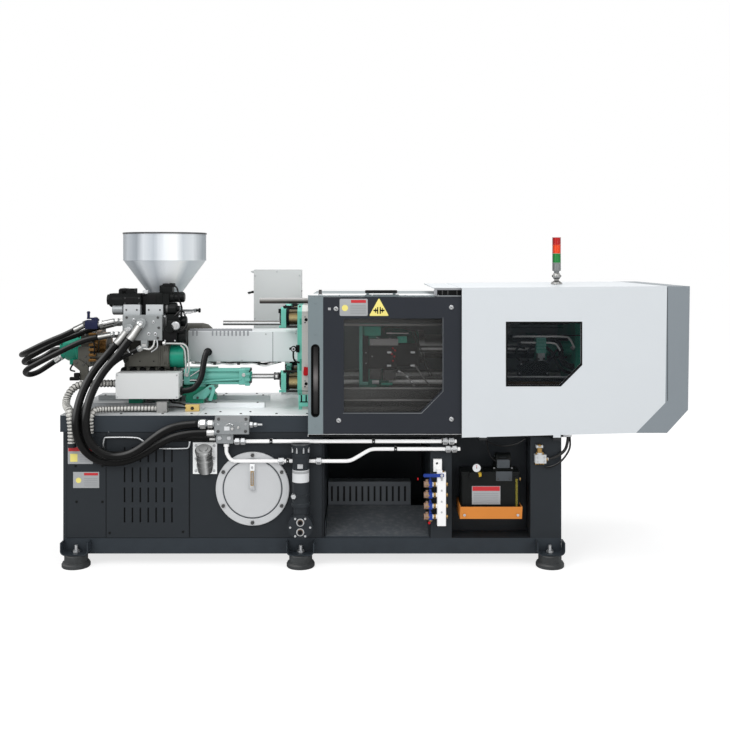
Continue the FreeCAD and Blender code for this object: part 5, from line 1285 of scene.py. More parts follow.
class MACHINE_OT_pipework(MachineOperator, bpy.types.Operator):
    """Fit the union nuts, clips and screws of the pipes and the base's valve block"""
    bl_idname = "machine.pipework"
    bl_label = "Pipework"

    def make(self, context):
        piece = Workpiece()
        for x, z in ((-678, 714), (-647, 714), (458, 714), (493, 714), (-438, 606), (-233, 606), (474, 672),
                     (508, 672)):
            piece.nut((x, -462, z), X_AXIS, 20.2, 24.6)
            piece.ring([(13.5, -17), (13.5, 17), (10.4, 18), (10.4, -18)], (x, -462, z), X_AXIS,
                         "zinc", 20)
        for x, z in ((-493, 714), (67, 714), (447, 714), (-403, 606), (187, 672)):
            piece.block((x - 8, -475, z - 12), (x + 8, -449, z + 12), "dull black plastic", 3)
            piece.screw((x, -475, z), FRONT, 4, "zinc", 3)
        piece.finish("pipe_nuts", "base")

        block = Workpiece()
        slope = Vector((0, -0.636, 0.772))
        for x in (-778, -629):
            block.screw((x, -478, 838), slope, 8.5, "dark steel", 4)
            block.screw((x, -494, 774), FRONT, 8.5, "dark steel", 4)
            block.screw((x, -494, 812), FRONT, 6, "zinc", 3)
        block.plate((-745, -716), (778, 800), -494, "label white")
        block.nut((-862, -482, 812), X_AXIS, 28, 32, "satin chrome")
        block.nut((-822, -482, 812), X_AXIS, 24, 30, "satin chrome")
        block.ring([(24.6, 0), (25.6, 2), (25.6, 6), (24.6, 8)], (-885, -482, 812), X_AXIS,
                     "satin chrome", 32)
        block.nut((-601, -470, 806), X_AXIS, 17, 18)
        block.nut((-578, -470, 806), X_AXIS, 13, 16)
        block.rod((-566, -470, 806), (-540, -470, 806), 6.6, "zinc", 16)
        block.line([(-690, -494, 800), (-700, -500, 812), (-720, -500, 820), (-735, -494, 806)], 2.5,
                   "chrome")
        block.rod((-700, -494, 790), (-700, -512, 790), 8, "satin chrome", 20)
        block.rod((-668, -494, 796), (-668, -508, 796), 7, "satin chrome", 20)
        block.rod((-800, -480, 764), (-840, -480, 764), 24, "satin chrome", 28)
        block.rod((-800, -452, 726), (-830, -452, 726), 15, "satin chrome", 24)
        block.block((-792, -481, 705), (-699, -431, 761), "block steel", 2)
        for x in (-772, -720):
            block.nut((x, -484, 735), FRONT, 13, 12)
        block.finish("base_block_fittings", "base")


class MACHINE_OT_cooler(MachineOperator, bpy.types.Operator):
    """Fit the cooler's label, ports, bolts and the chute's edges"""
    bl_idname = "machine.cooler"
    bl_label = "Cooler and chute"

    def make(self, context):
        piece = Workpiece()
        band = [(44.6, 500), (45.7, 500), (45.7, 566), (44.6, 566)]
        piece.ring(band, (COOLER_X, COOLER_Y, 0), Z_AXIS, "label white", 40)
        band = [(45.6, 548), (46.1, 548), (46.1, 562), (45.6, 562)]
        piece.ring(band, (COOLER_X, COOLER_Y, 0), Z_AXIS, "label grey", 40)
        for z in (286, 234):
            ring = [(9.4, -4), (15.4, -4), (15.4, 1), (12.5, 2.4), (9.4, 1)]
            piece.ring(ring, (COOLER_X, -530.5, z), FRONT, "bronze", 28)
            piece.rod((COOLER_X, -520, z), (COOLER_X, -525.6, z), 22, "zinc", 28)
            piece.rod((COOLER_X, -512, z), (COOLER_X, -529, z), 8.8, "inner black", 20)
        for x, z in on_circle(6, 54, 0, (COOLER_X, 260)):
            piece.screw((x, -525, z), FRONT, 6.5, "zinc", 5, True)
        for x, y in on_circle(8, 47, 22.5, (COOLER_X, COOLER_Y)):
            piece.nut((x, y, 675), Z_AXIS, 5, 30)
        piece.block((-345, -532, 578), (-315, -524, 602), "zinc", 3)
        piece.nut((-366, -505, 425), FRONT, 15, 40)
        piece.finish("cooler_fittings", "base")

        chute = Workpiece()
        chute.block((-203, -424, 174), (378, -420, 184), "band paint", 1)
        for x in (-201, 372):
            chute.block((x, -424, 176), (x + 4, -28, 262), "panel paint", 1)
        chute.block((-197, -32, 249), (290, -26, 256), "band paint", 1)
        chute.finish("chute_edges", "base")


class MACHINE_OT_water(MachineOperator, bpy.types.Operator):
    """Fit the cooling-water bar's valves, tails and screws, and the lever's grip"""
    bl_idname = "machine.water"
    bl_label = "Cooling water"

    def make(self, context):
        piece = Workpiece()
        y = WATER_Y
        for z in WATER_OUTLET_Z:
            piece.nut((400, y, z), X_AXIS, 15, 14, "brass")
            piece.block((366, y - 17, z - 17), (388, y + 17, z + 17), "blue plastic", 5)
            piece.nut((358, y, z), X_AXIS, 18.6, 12, "brass")
            for rib in range(3):
                low = 341 + 5 * rib - 2
                piece.ring([(9, 0), (14, 1), (14, 3), (9, 4)], (low, y, z), X_AXIS, "dull black plastic",
                           24)
            piece.rod((376, y, z + 17), (376, y, z + 27), 7, "blue plastic", 16)
            piece.block((371, y - 4, z + 26), (381, y + 4, z + 34), "blue plastic", 2)
            piece.nut((466, y, z), X_AXIS, 11, 12, "brass")
            piece.screw((WATER_X, -490, z + 28), FRONT, 5, "zinc", 3)
        piece.rod((WATER_X, y, 546), (WATER_X, y, 556), 16, "brass", 24)
        piece.rod((305, y - 6, 511), (312, y - 6, 511), 7, "red plastic", 16)
        piece.rod((369, y - 18, 276), (369, y - 24, 276), 7, "red plastic", 16)
        piece.nut((376, y, 286), Z_AXIS, 12, 14, "brass")
        piece.screw((WATER_X, -490, 520), FRONT, 7, "zinc", 4)
        piece.finish("water_fittings", "base")

        lever = Workpiece()
        lever.block((339, -503.4, 528), (405, -497.4, 542), "blue plastic", 3)
        lever.screw((WATER_X, -502, 535), FRONT, 9, "zinc", 5, True)
        lever.finish("water_lever_grip", "water_lever")


class MACHINE_OT_lubricator(MachineOperator, bpy.types.Operator):
    """Fit the lubricator and its distributor, and lay its two thin lines"""
    bl_idname = "machine.lubricator"
    bl_label = "Lubricator"

    def make(self, context):
        piece = Workpiece()
        front = -475
        piece.plate((603, 758), (372, 472), front, "label grey")
        piece.plate((606, 755), (446, 470), front - 0.7, "label red")
        for row in range(6):
            piece.plate((612, 748), (380 + 10 * row, 384 + 10 * row), front - 0.7, "cabinet shade")
        piece.turned([(0, 0), (26, 0), (26, 8), (23.5, 9.5), (22.5, 7), (0, 7)], (626, -492, 576), FRONT,
                     "black plastic", 36)
        piece.rod((626, -496, 576), (626, -499.6, 576), 22, "label white", 32, 0.3)
        piece.block((624.8, -500.6, 574), (627.2, -499.6, 592), "label red", 0.2)
        piece.rod((626, -499.6, 576), (626, -502, 576), 2.6, "dark steel", 12)
        piece.turned([(0, 0), (24, 0), (24, 18), (20, 23), (0, 23)], (632, -470, 526), Z_AXIS,
                     "yellow plastic", 32)
        for at in on_circle(12, 23.8, 0, (632, -470)):
            piece.rod((*at, 528), (*at, 543), 2, "yellow plastic", 8, 0.4)
        for step in range(7):
            z = 566 + 7 * step
            ring = [(47, z), (50.5, z + 1), (50.5, z + 3), (47, z + 4)]
            piece.ring(ring, PUMP_MOTOR, Z_AXIS, "black plastic", 36)
        piece.block((742, -462, 566), (812, -440, 612), "grey plastic", 5)
        piece.block((734, -477, 500), (822, -474, 552), "grey plastic", 4)
        piece.turned([(0, 610), (42, 610), (44, 614), (43, 622), (0, 626)], PUMP_MOTOR, Z_AXIS,
                     "grey plastic", 36)
        for x in (744, 812):
            piece.screw((x, -477, 512), FRONT, 5, "dark steel", 3)
        piece.line([(742, -448, 600), (720, -452, 612), (700, -450, 640), (690, -440, 690),
                    (684, -420, 740)], 4, "lead rubber")
        for x in (729, 825):
            piece.screw((x, -442, 562), Z_AXIS, 6, "zinc", 4)
        piece.block((544, -476.5, 540), (867, -330, 549), "black plastic", 4)
        piece.block((840, -482, 330), (852, -474, 520), "gauge glass", 4)
        for z in (326, 520):
            piece.block((836, -484, z - 6), (856, -474, z + 6), "black plastic", 3)
        piece.nut((872, -420, 498), X_AXIS, 10, 12, "brass")
        for x in (560, 850):
            piece.screw((x, -500, 320), FRONT, 7, "zinc", 3)
        piece.finish("lubricator_fittings", "base")

        spread = Workpiece()
        for x in (962, 976, 992):
            spread.nut((x, -452, 646), Z_AXIS, 7.5, 12, "brass")
        spread.rod((976, -452, 650), (976, -452, 678), 15.6, "brass", 24)
        spread.nut((976, -452, 690), Z_AXIS, 13, 10, "brass")
        for z in (606, 628):
            spread.screw((962, -470, z), FRONT, 5, "zinc", 3)
            spread.screw((998, -470, z), FRONT, 5, "zinc", 3)
        spread.nut((1016, -450, 612), X_AXIS, 10, 12, "brass")
        spread.block((1106, -462, 738), (1150, -446, 751), "zinc", 2)
        for x in (955, 968, 982, 996):
            spread.nut((x, -452, 590), Z_AXIS, 6.5, 10, "brass")
        spread.finish("distributor_fittings", "base")
        lay_cord("grease_line", GREASE_ROUTE, 0.008, "lead rubber", "base")
        lay_cord("motor_lead", MOTOR_LEAD_ROUTE, 0.010, "lead rubber", "base")


class MACHINE_OT_hopper(MachineOperator, bpy.types.Operator):
    """Fit the hopper's rim, fold and neck, and the shutter's knob"""
    bl_idname = "machine.hopper"
    bl_label = "Hopper"

    def make(self, context):
        piece = Workpiece()
        rim = [(240, 1857), (244.4, 1856), (245.4, 1860), (244.8, 1864), (241, 1865), (238, 1864)]
        piece.ring(rim, HOPPER, Z_AXIS, "dark steel", 96)
        fold = [(240, 1700), (242.2, 1701), (242.4, 1704), (242.2, 1707), (240, 1708)]
        piece.ring(fold, HOPPER, Z_AXIS, "hopper steel", 96)
        flange = [(90, 1505), (112, 1505), (112, 1511), (104, 1514), (90, 1514)]
        piece.ring(flange, HOPPER, Z_AXIS, "block steel", 64)
        collar = [(58, 1422), (76, 1422), (76, 1432), (60.6, 1436), (60.6, 1480), (66, 1484), (66, 1496),
                  (60.6, 1500), (58, 1500)]
        piece.ring(collar, HOPPER, Z_AXIS, "block steel", 56)
        for x, y in on_circle(8, 70, 22.5, HOPPER[:2]):
            piece.screw((x, y, 1431), Z_AXIS, 5, "dark steel", 5)
        for x in (-1245, -1093):
            for y in (-58, 58):
                piece.screw((x, y, 1421), Z_AXIS, 6, "dark steel", 5)
        piece.finish("hopper_fittings", "carriage")
        knob = Workpiece()
        knob.block((-986, -42, 1393), (-982, 42, 1414), "block steel", 2)
        knob.rod((-984, 0, 1404), (-968, 0, 1404), 7, "black plastic", 20)
        knob.turned([(0, 0), (12, 0), (14, 6), (12, 12), (0, 14)], (-970, 0, 1404), X_AXIS, "black plastic",
                    28)
        knob.finish("shutter_knob", "shutter")


class MACHINE_OT_valves(MachineOperator, bpy.types.Operator):
    """Fit the valve stack's coils, plugs, spools and leads"""
    bl_idname = "machine.valves"
    bl_label = "Valve stack"

    def make(self, context):
        piece = Workpiece()
        black, dull = "black plastic", "dull black plastic"
        piece.block((-1440, -228, 1449), (-1356, -122, 1497), black, 14)
        piece.turned([(0, 0), (34, 3), (40, 12), (40, 26), (0, 26)], (-1452, -175, 1472), X_AXIS, black, 36)
        piece.block((-1362, -230, 1446), (-1258, -120, 1494), black, 4)
        piece.block((-1356, -232, 1452), (-1300, -228, 1488), dull, 2)
        piece.block((-1392, -214, 1492), (-1338, -150, 1536), black, 6)
        piece.block((-1386, -218, 1526), (-1344, -146, 1541), dull, 4)
        piece.screw((-1365, -182, 1541), Z_AXIS, 6, "zinc", 3)
        piece.turned([(0, 0), (26, 0), (30, 4), (30, 58), (26, 62), (0, 62)], (-1424, -205, 1420), X_AXIS,
                     "block steel", 36)
        piece.block((-1298, -200, 1494), (-1262, -150, 1512), dull, 3)
        for x in (-1350, -1270):
            for z in (1456, 1486):
                piece.screw((x, -230, z), FRONT, 4.5, "dark steel", 3)
        piece.line([(-1340, -190, 1520), (-1322, -200, 1524), (-1304, -204, 1512), (-1284, -204, 1500),
                    (-1262, -200, 1506), (-1236, -190, 1502), (-1216, -186, 1496)], 9, "lead rubber")

        piece.block((-1222, -230, 1449), (-1136, -120, 1516), black, 4)
        piece.block((-1214, -234, 1458), (-1172, -230, 1506), dull, 2)
        piece.block((-1146, -212, 1504), (-1084, -148, 1562), black, 5)
        piece.block((-1140, -216, 1552), (-1078, -144, 1570), dull, 5)
        piece.screw((-1112, -180, 1570), Z_AXIS, 6, "zinc", 3)
        piece.turned([(0, 0), (25, 0), (27, 3), (27, 66), (20, 70), (20, 112), (24, 116), (24, 126),
                      (0, 126)], (-1142, -190, 1490), X_AXIS, black, 36)
        for rib in range(5):
            ring = [(26, 0), (29.5, 1), (29.5, 4), (26, 5)]
            piece.ring(ring, (-1132 + 11 * rib, -190, 1490), X_AXIS, black, 36)
        piece.block((-1258, -196, 1494), (-1228, -150, 1530), "label white", 4)
        piece.block((-1258, -204, 1392), (-1226, -140, 1496), dull, 3)

        coil = [(0, 0), (30, 0), (36, 4), (36, 66), (30, 70), (18, 72), (18, 84), (0, 84)]
        piece.turned(coil, (-1128, -196, 1424), X_AXIS, black, 40)
        piece.ring([(36.1, 10), (37.6, 12), (37.6, 20), (36.1, 22)], (-1128, -196, 1424), X_AXIS,
                     "dark steel", 40)
        piece.block((-1112, -210, 1300), (-1040, -132, 1388), dull, 5)
        piece.block((-1128, -252, 1238), (-1052, -168, 1300), dull, 5)
        piece.turned([(0, 0), (34, 0), (38, 5), (38, 44), (0, 44)], (-1052, -188, 1268), X_AXIS, black, 36)
        piece.turned([(0, 0), (28, 0), (30, 3), (30, 34), (24, 38), (0, 38)], (-1042, -188, 1352), X_AXIS,
                     black, 36)
        piece.turned([(0, 0), (24, 0), (24, 10), (19, 14), (0, 14)], (-1054, -262, 1331), FRONT, "zinc", 32)
        piece.turned([(0, 0), (9, 0), (9, 5), (0, 5)], (-1054, -276, 1331), FRONT, "satin chrome", 6)
        piece.block((-1098, -266, 1300), (-1030, -240, 1360), black, 4)
        piece.front_screws(-254, ((-1118, 1384), (-1034, 1384), (-1116, 1246), (-1060, 1246)), 5, "zinc", 3)
        for points in (
                [(-1084, -180, 1556), (-1066, -190, 1552), (-1052, -204, 1528), (-1046, -214, 1480),
                 (-1028, -220, 1440), (-1026, -222, 1400), (-1040, -220, 1366)],
                [(-1090, -206, 1388), (-1072, -232, 1376), (-1050, -238, 1398), (-1030, -226, 1418),
                 (-1014, -208, 1404), (-1008, -200, 1360)],
                [(-1070, -230, 1300), (-1050, -246, 1290), (-1020, -244, 1300), (-1002, -226, 1322),
                 (-1000, -206, 1344), (-1018, -200, 1356)],
                [(-1030, -200, 1240), (-1010, -214, 1226), (-1000, -216, 1200), (-1012, -204, 1180)]):
            piece.line(points, 5, "lead rubber")
        piece.line([(-1020, -210, 1392), (-1000, -214, 1404), (-976, -216, 1400), (-960, -216, 1410)], 4,
                   "zinc")
        piece.finish("valve_fittings", "carriage")


class MACHINE_OT_manifold(MachineOperator, bpy.types.Operator):
    """Fit the injection manifold's plugs, unions and pipes, and the stop valve"""
    bl_idname = "machine.manifold"
    bl_label = "Injection manifold"

    def make(self, context):
        piece = Workpiece()
        face = -262
        piece.front_screws(face, ((-1332, 1378), (-1155, 1378), (-1332, 1262), (-1155, 1262),
                                  (-1150, 1320)), 7, "dark steel", 4)
        for x, z, radius in ((-1206, 1284, 10), (-1169, 1284, 10), (-1290, 1364, 9), (-1180, 1352, 8)):
            piece.turned([(0, 0), (radius, 0), (radius, 4), (radius * 0.6, 5), (0, 5)], (x, face, z), FRONT,
                         "zinc", 24)
            piece.turned([(0, 0), (radius * 0.5, 0), (radius * 0.5, 0.6), (0, 0.6)], (x, face - 5, z),
                         FRONT, "dark steel", 6)
        piece.front_screws(-240, ((-1340, 1420), (-1280, 1420), (-1212, 1420), (-1148, 1420)), 5,
                           "dark steel", 3)
        piece.block((-1357, -263, 1246), (-1131, -261.4, 1248.5), "dark steel", 0.3)

        unions = (((-1308, -294, 1255), (-1244, -276, 1348), 23), ((-1384, -280, 1231), (-1314, -276, 1314),
                                                                   22),
                  ((-1508, -205, 1262), (-1418, -205, 1278), 17), ((-1512, -150, 1316), (-1418, -150, 1338),
                                                                   17),
                  ((-1645.5, -205, 1303), (-1576, -205, 1338), 17))
        for low, high, radius in unions:
            low, high = Vector(low), Vector(high)
            along = (high - low).normalized()
            reach = (high - low).length
            sleeve = [(radius - 3, 0), (radius + 1.4, 0.6), (radius + 1.4, reach * 0.24),
                      (radius + 0.6, reach * 0.27), (radius + 0.6, reach * 0.8), (radius - 3, reach * 0.84)]
            piece.ring(sleeve, low, along, "ferrule steel", 48)
            piece.nut(low + along * reach * 0.91, along, radius * 1.14, reach * 0.13, "satin chrome")
        for x, z in ((-1246, 1348), (-1314, 1314)):
            piece.turned([(0, 0), (27.6, 0), (27.6, 24), (22, 30), (0, 30)], (x, -262, z), FRONT,
                         "manifold steel", 36)
            piece.turned([(0, 0), (15, 0), (15, 4), (11, 7), (0, 7)], (x, -292, z), FRONT, "zinc", 6)
        for y, z in ((-205, 1354), (-205, 1278), (-150, 1338)):
            piece.nut((-1372, y, z), X_AXIS, 21, 22, "satin chrome")
            piece.nut((-1402, y, z), X_AXIS, 19, 20, "satin chrome")
        piece.line([(-1506, -205, 1335), (-1470, -205, 1343), (-1418, -205, 1354)], 15.6, "satin chrome",
                   24)
        piece.nut((-1492, -205, 1338), (0.98, 0, 0.21), 21, 22, "satin chrome")
        piece.nut((-1256, -262, 1203), (0.894, 0, 0.447), 19, 22, "satin chrome")
        piece.nut((-1230, -262, 1222), Z_AXIS, 20, 20, "satin chrome")
        piece.line([(-1234, -270, 1204), (-1208, -272, 1196), (-1186, -270, 1206), (-1174, -268, 1232),
                    (-1174, -266, 1250)], 7, "satin chrome")
        piece.line([(-1330, -268, 1250), (-1332, -272, 1212), (-1318, -272, 1178), (-1296, -268, 1172)], 5,
                   "zinc")
        piece.line([(-1160, -268, 1250), (-1150, -276, 1220), (-1166, -280, 1196), (-1190, -276, 1184)], 4,
                   "zinc")
        white = [(-1125, -270, 1238), (-1125, -270, 1230), (-1112, -270, 1232), (-1028, -270, 1231),
                 (-1008, -270, 1229), (-990, -270, 1214), (-982, -268, 1190), (-980, -262, 1110),
                 (-980, -250, 1072), (-992, -232, 1052)]
        piece.line(white, 4.6, "pipe grey")
        piece.line([(x - 18, y + 6, z - 8) for x, y, z in white[4:]], 4.6, "pipe grey")
        piece.nut((-1118, -270, 1232), X_AXIS, 12, 16, "satin chrome")
        piece.finish("manifold_fittings", "carriage")

        valve = Workpiece()
        valve.block((-1580, -232, 1309), (-1508, -178, 1361), "navy paint", 7)
        valve.block((-1546, -220, 1357), (-1506, -190, 1368), "navy paint", 4)
        valve.nut((-1583, -205, 1335), (0.9, 0, 0.45), 24, 14, "dark steel")
        valve.finish("stop_valve_body", "carriage")
        grip = Workpiece()
        grip.rod((-1565, -205, 1368), (-1565, -205, 1402), 8, "navy paint", 20)
        grip.turned([(0, 0), (9, 2), (10, 8), (7, 14), (0, 15)], (-1565, -205, 1396), Z_AXIS, "navy paint",
                    24)
        grip.screw((-1526, -205, 1373), Z_AXIS, 8, "zinc", 5, True)
        grip.finish("stop_valve_grip", "stop_handle")


class MACHINE_OT_housing(MachineOperator, bpy.types.Operator):
    """Fit the injection housing's ribs, cylinder head and bolts, and the terminal box's trim"""
    bl_idname = "machine.housing"
    bl_label = "Injection housing"

    def make(self, context):
        piece = Workpiece()
        olive, teal = "olive casting", "injection teal"
        for x, z in on_circle(10, 50, 0, (-1290, 1120)):
            piece.screw((x, -182, z), FRONT, 5, "dark steel", 4)
        piece.turned([(0, 0), (44, 0), (44, 3), (30, 6), (26, 10), (0, 10)], (-1290, -180, 1120), FRONT,
                     olive, 48)
        for start, drop in ((-1330, 0), (-1262, 8), (-1196, 14)):
            web = [(start + 70 * part, 1060 + drop + 120 * part ** 1.7) for part in
                   (0, 0.15, 0.3, 0.45, 0.6, 0.75, 0.9, 1)]
            web = [(x, -178, z) for x, z in web]
            piece.line(web, 7, olive, 12)
        web = rounded((-1330, 1096), (-1332, 1166), (-1290, 1200), (-1232, 1214), (-1101, 1216),
                      (-1101, 1096))
        piece.slab(web, -224, -196, olive, 3)
        for x in (-1158, -1134, -1112):
            piece.block((x, -231, 1104), (x + 8, -216, 1210), olive, 3)
        for x, z in ((-1187, 1203), (-1266, 1126), (-1187, 1126), (-1308, 1160)):
            piece.ring([(4, 0), (8, 0), (9.6, 1.6), (4, 1.6)], (x, -224, z), FRONT, olive, 28)
            piece.rod((x, -223, z), (x, -225, z), 8, "inner black", 24)
        for column in range(6):
            x = -1365 + 53 * column
            piece.turned([(0, 0), (21, 0), (21, 12), (16, 17), (0, 17)], (x, -176, 1068), FRONT,
                         "inner black", 24)
            piece.block((x + 20, -190, 1052), (x + 33, -166, 1090), olive, 5)
        ring = [(60, 0), (69.6, 2), (69.6, 18), (60, 20)]
        piece.ring(ring, (-1120, CYLINDER_Y, CYLINDER_Z), X_AXIS, "block steel", 56)
        ring = [(60, 0), (68.8, 1), (68.8, 79), (66, 83), (40, 84), (40, 80), (60, 78)]
        piece.ring(ring, (-1100, CYLINDER_Y, CYLINDER_Z), X_AXIS, teal, 56)
        for y, z in on_circle(8, 54, 0, (CYLINDER_Y, CYLINDER_Z)):
            piece.screw((-1018, y, z), X_AXIS, 6, "dark steel", 5)
        for x, y, z in ((-1250, -166, 1180), (-1210, -166, 1150), (-1170, -166, 1180), (-1216, -170, 1090),
                        (-1160, -170, 1100)):
            piece.screw((x, y, z), FRONT, 6.5, "dark steel", 4)
        piece.finish("housing_fittings", "carriage")

        box_trim = Workpiece()
        box_trim.front_screws(-322, ((-1370, 936), (-1370, 1058), (-1037, 936), (-1037, 1058)), 5, "zinc",
                              3)
        box_trim.ring([(18, 0), (27, 0), (27, 14), (24, 18), (18, 18)], (-1376, -262, 1004), LEFT,
                        "zinc", 28)
        box_trim.ring([(14, 0), (25, 0), (25, 9), (21, 14), (14, 14)], (-1027, -256, 962), X_AXIS,
                        "black plastic", 28)
        box_trim.block((-1380.6, -310, 925.4), (-1378.8, -210, 1067.6), "cabinet shade", 0.4)
        for x in (-1068, -1048, -1028):
            box_trim.rod((x, -250, 925), (x, -250, 905), 6, "black plastic", 16)
        box_trim.finish("terminal_box_trim", "carriage")


class MACHINE_OT_barrel_cover(MachineOperator, bpy.types.Operator):
    """Fit the barrel cover's screws, slots' backs and the heater leads below it"""
    bl_idname = "machine.barrel_cover"
    bl_label = "Barrel cover"

    def make(self, context):
        piece = Workpiece()
        piece.block((-1006, -91, 1246), (-640, -88, 1302), "cabinet shade", 0.5)
        piece.block((-1013.6, -70, 1104), (-1011, 70, 1276), "dark steel", 0.5)
        piece.front_screws(-95, ((-1000, 1120), (-700, 1120), (-384, 1120), (-384, 1274), (-560, 1270)),
                           4.5, "zinc", 2.5)
        piece.block((-521, -96, 1107), (-517, -94.6, 1284), "cabinet shade", 0.3)
        bumps = ((-1000, -6), (-950, -14), (-905, -4), (-860, -16), (-815, -6), (-770, -18), (-725, -6),
                 (-680, -14), (-640, -4), (-600, -18), (-560, -26), (-520, -8), (-490, 2))
        piece.line([(x, -70, 1106 + drop) for x, drop in bumps], 5, "pipe coat")
        piece.line([(x + 18, -60, 1104 + drop * 0.6) for x, drop in bumps], 5, "dark steel")
        piece.line([(x - 12, -78, 1108 + drop * 0.4) for x, drop in bumps[4:]], 3.5, "lead rubber")
        for x in (-870, -730, -610):
            piece.block((x, -80, 1088), (x + 16, -56, 1108), "dark steel", 2)
        piece.ring([(10, 0), (24, 0), (24, 10), (20, 14), (10, 14)], (-898, -95, 1166), FRONT,
                     "black plastic", 32)
        piece.finish("barrel_cover_fittings", "carriage")


class MACHINE_OT_drive(MachineOperator, bpy.types.Operator):
    """Fit the screw drive's bearing, plate bolts, cable clamps and the motor's cover"""
    bl_idname = "machine.drive"
    bl_label = "Screw drive"

    def make(self, context):
        piece = Workpiece()
        for low, high, radius in ((-0.6, 26.4, 96.8), (26.4, 67.6, 84.8)):
            piece.ring([(60, low), (radius, low), (radius, high), (60, high)], (-1567, 0, AXIS_Z),
                         X_AXIS, "bronze", 64)
        for step in range(6):
            z = 1118 + 30 * step
            piece.block((-1574, -178, z), (-1530, -150, z + 16), "bronze", 4)
        for z in (1112, 1148, 1236, 1272):
            piece.screw((-1592, -172, z), FRONT, 6.5, "dark steel", 4)
        for y in (-140, 140):
            for z in (1120, 1262):
                piece.screw((-1635, y, z), LEFT, 11, "dark steel", 8, True)
        teal = "injection teal"
        ring = [(86, 0), (92, 2), (92, 12), (86, 14)]
        piece.ring(ring, (-1636, 0, AXIS_Z), LEFT, teal, 56)
        for y, z in on_circle(8, 62, 22.5, (0, AXIS_Z)):
            piece.screw((-1762, y, z), LEFT, 9, "dark steel", 8)
            piece.rod((-1690, y, z), (-1764, y, z), 8, teal, 16)
        piece.turned([(0, 0), (30, 0), (34, 6), (30, 14), (0, 16)], (-1772, 0, AXIS_Z), LEFT, teal, 40)
        for y, z in ((70, 1206), (20, 1172)):
            piece.nut((-1762, y, z), X_AXIS, 23, 24, "satin chrome")
            piece.ring([(15, 0), (20, 1), (20, 18), (15, 20)], (-1784, y, z), X_AXIS, "satin chrome", 32)
        low, high = Vector((-1809, -40, 1107.2)), Vector((-1748, -40, 1148.6))
        along = (high - low).normalized()
        piece.ring([(14, 0), (18, 1), (18, 34), (14, 36)], low, along, "satin chrome", 32)
        piece.nut(low + along * 44, along, 22, 16, "satin chrome")
        piece.block((-1651, -206, 1031), (-1619, -182, 1056), "dull black plastic", 6)
        piece.block((-1676, -206, 1012), (-1620, -182, 1032), "dull black plastic", 6)
        for x in (-1640, -1600):
            piece.screw((x, -184, 1100 if x > -1620 else 1112), FRONT, 6, "dark steel", 4)
        piece.line([(-1700, -48, 1092), (-1706, -90, 1070), (-1690, -130, 1062), (-1670, -170, 1066),
                    (-1650, -190, 1064)], 5, "lead rubber")
        piece.line([(-1560, -184, 1262), (-1540, -196, 1240), (-1530, -200, 1200), (-1536, -196, 1160)], 4,
                   "lead rubber")
        piece.finish("drive_fittings", "drive")


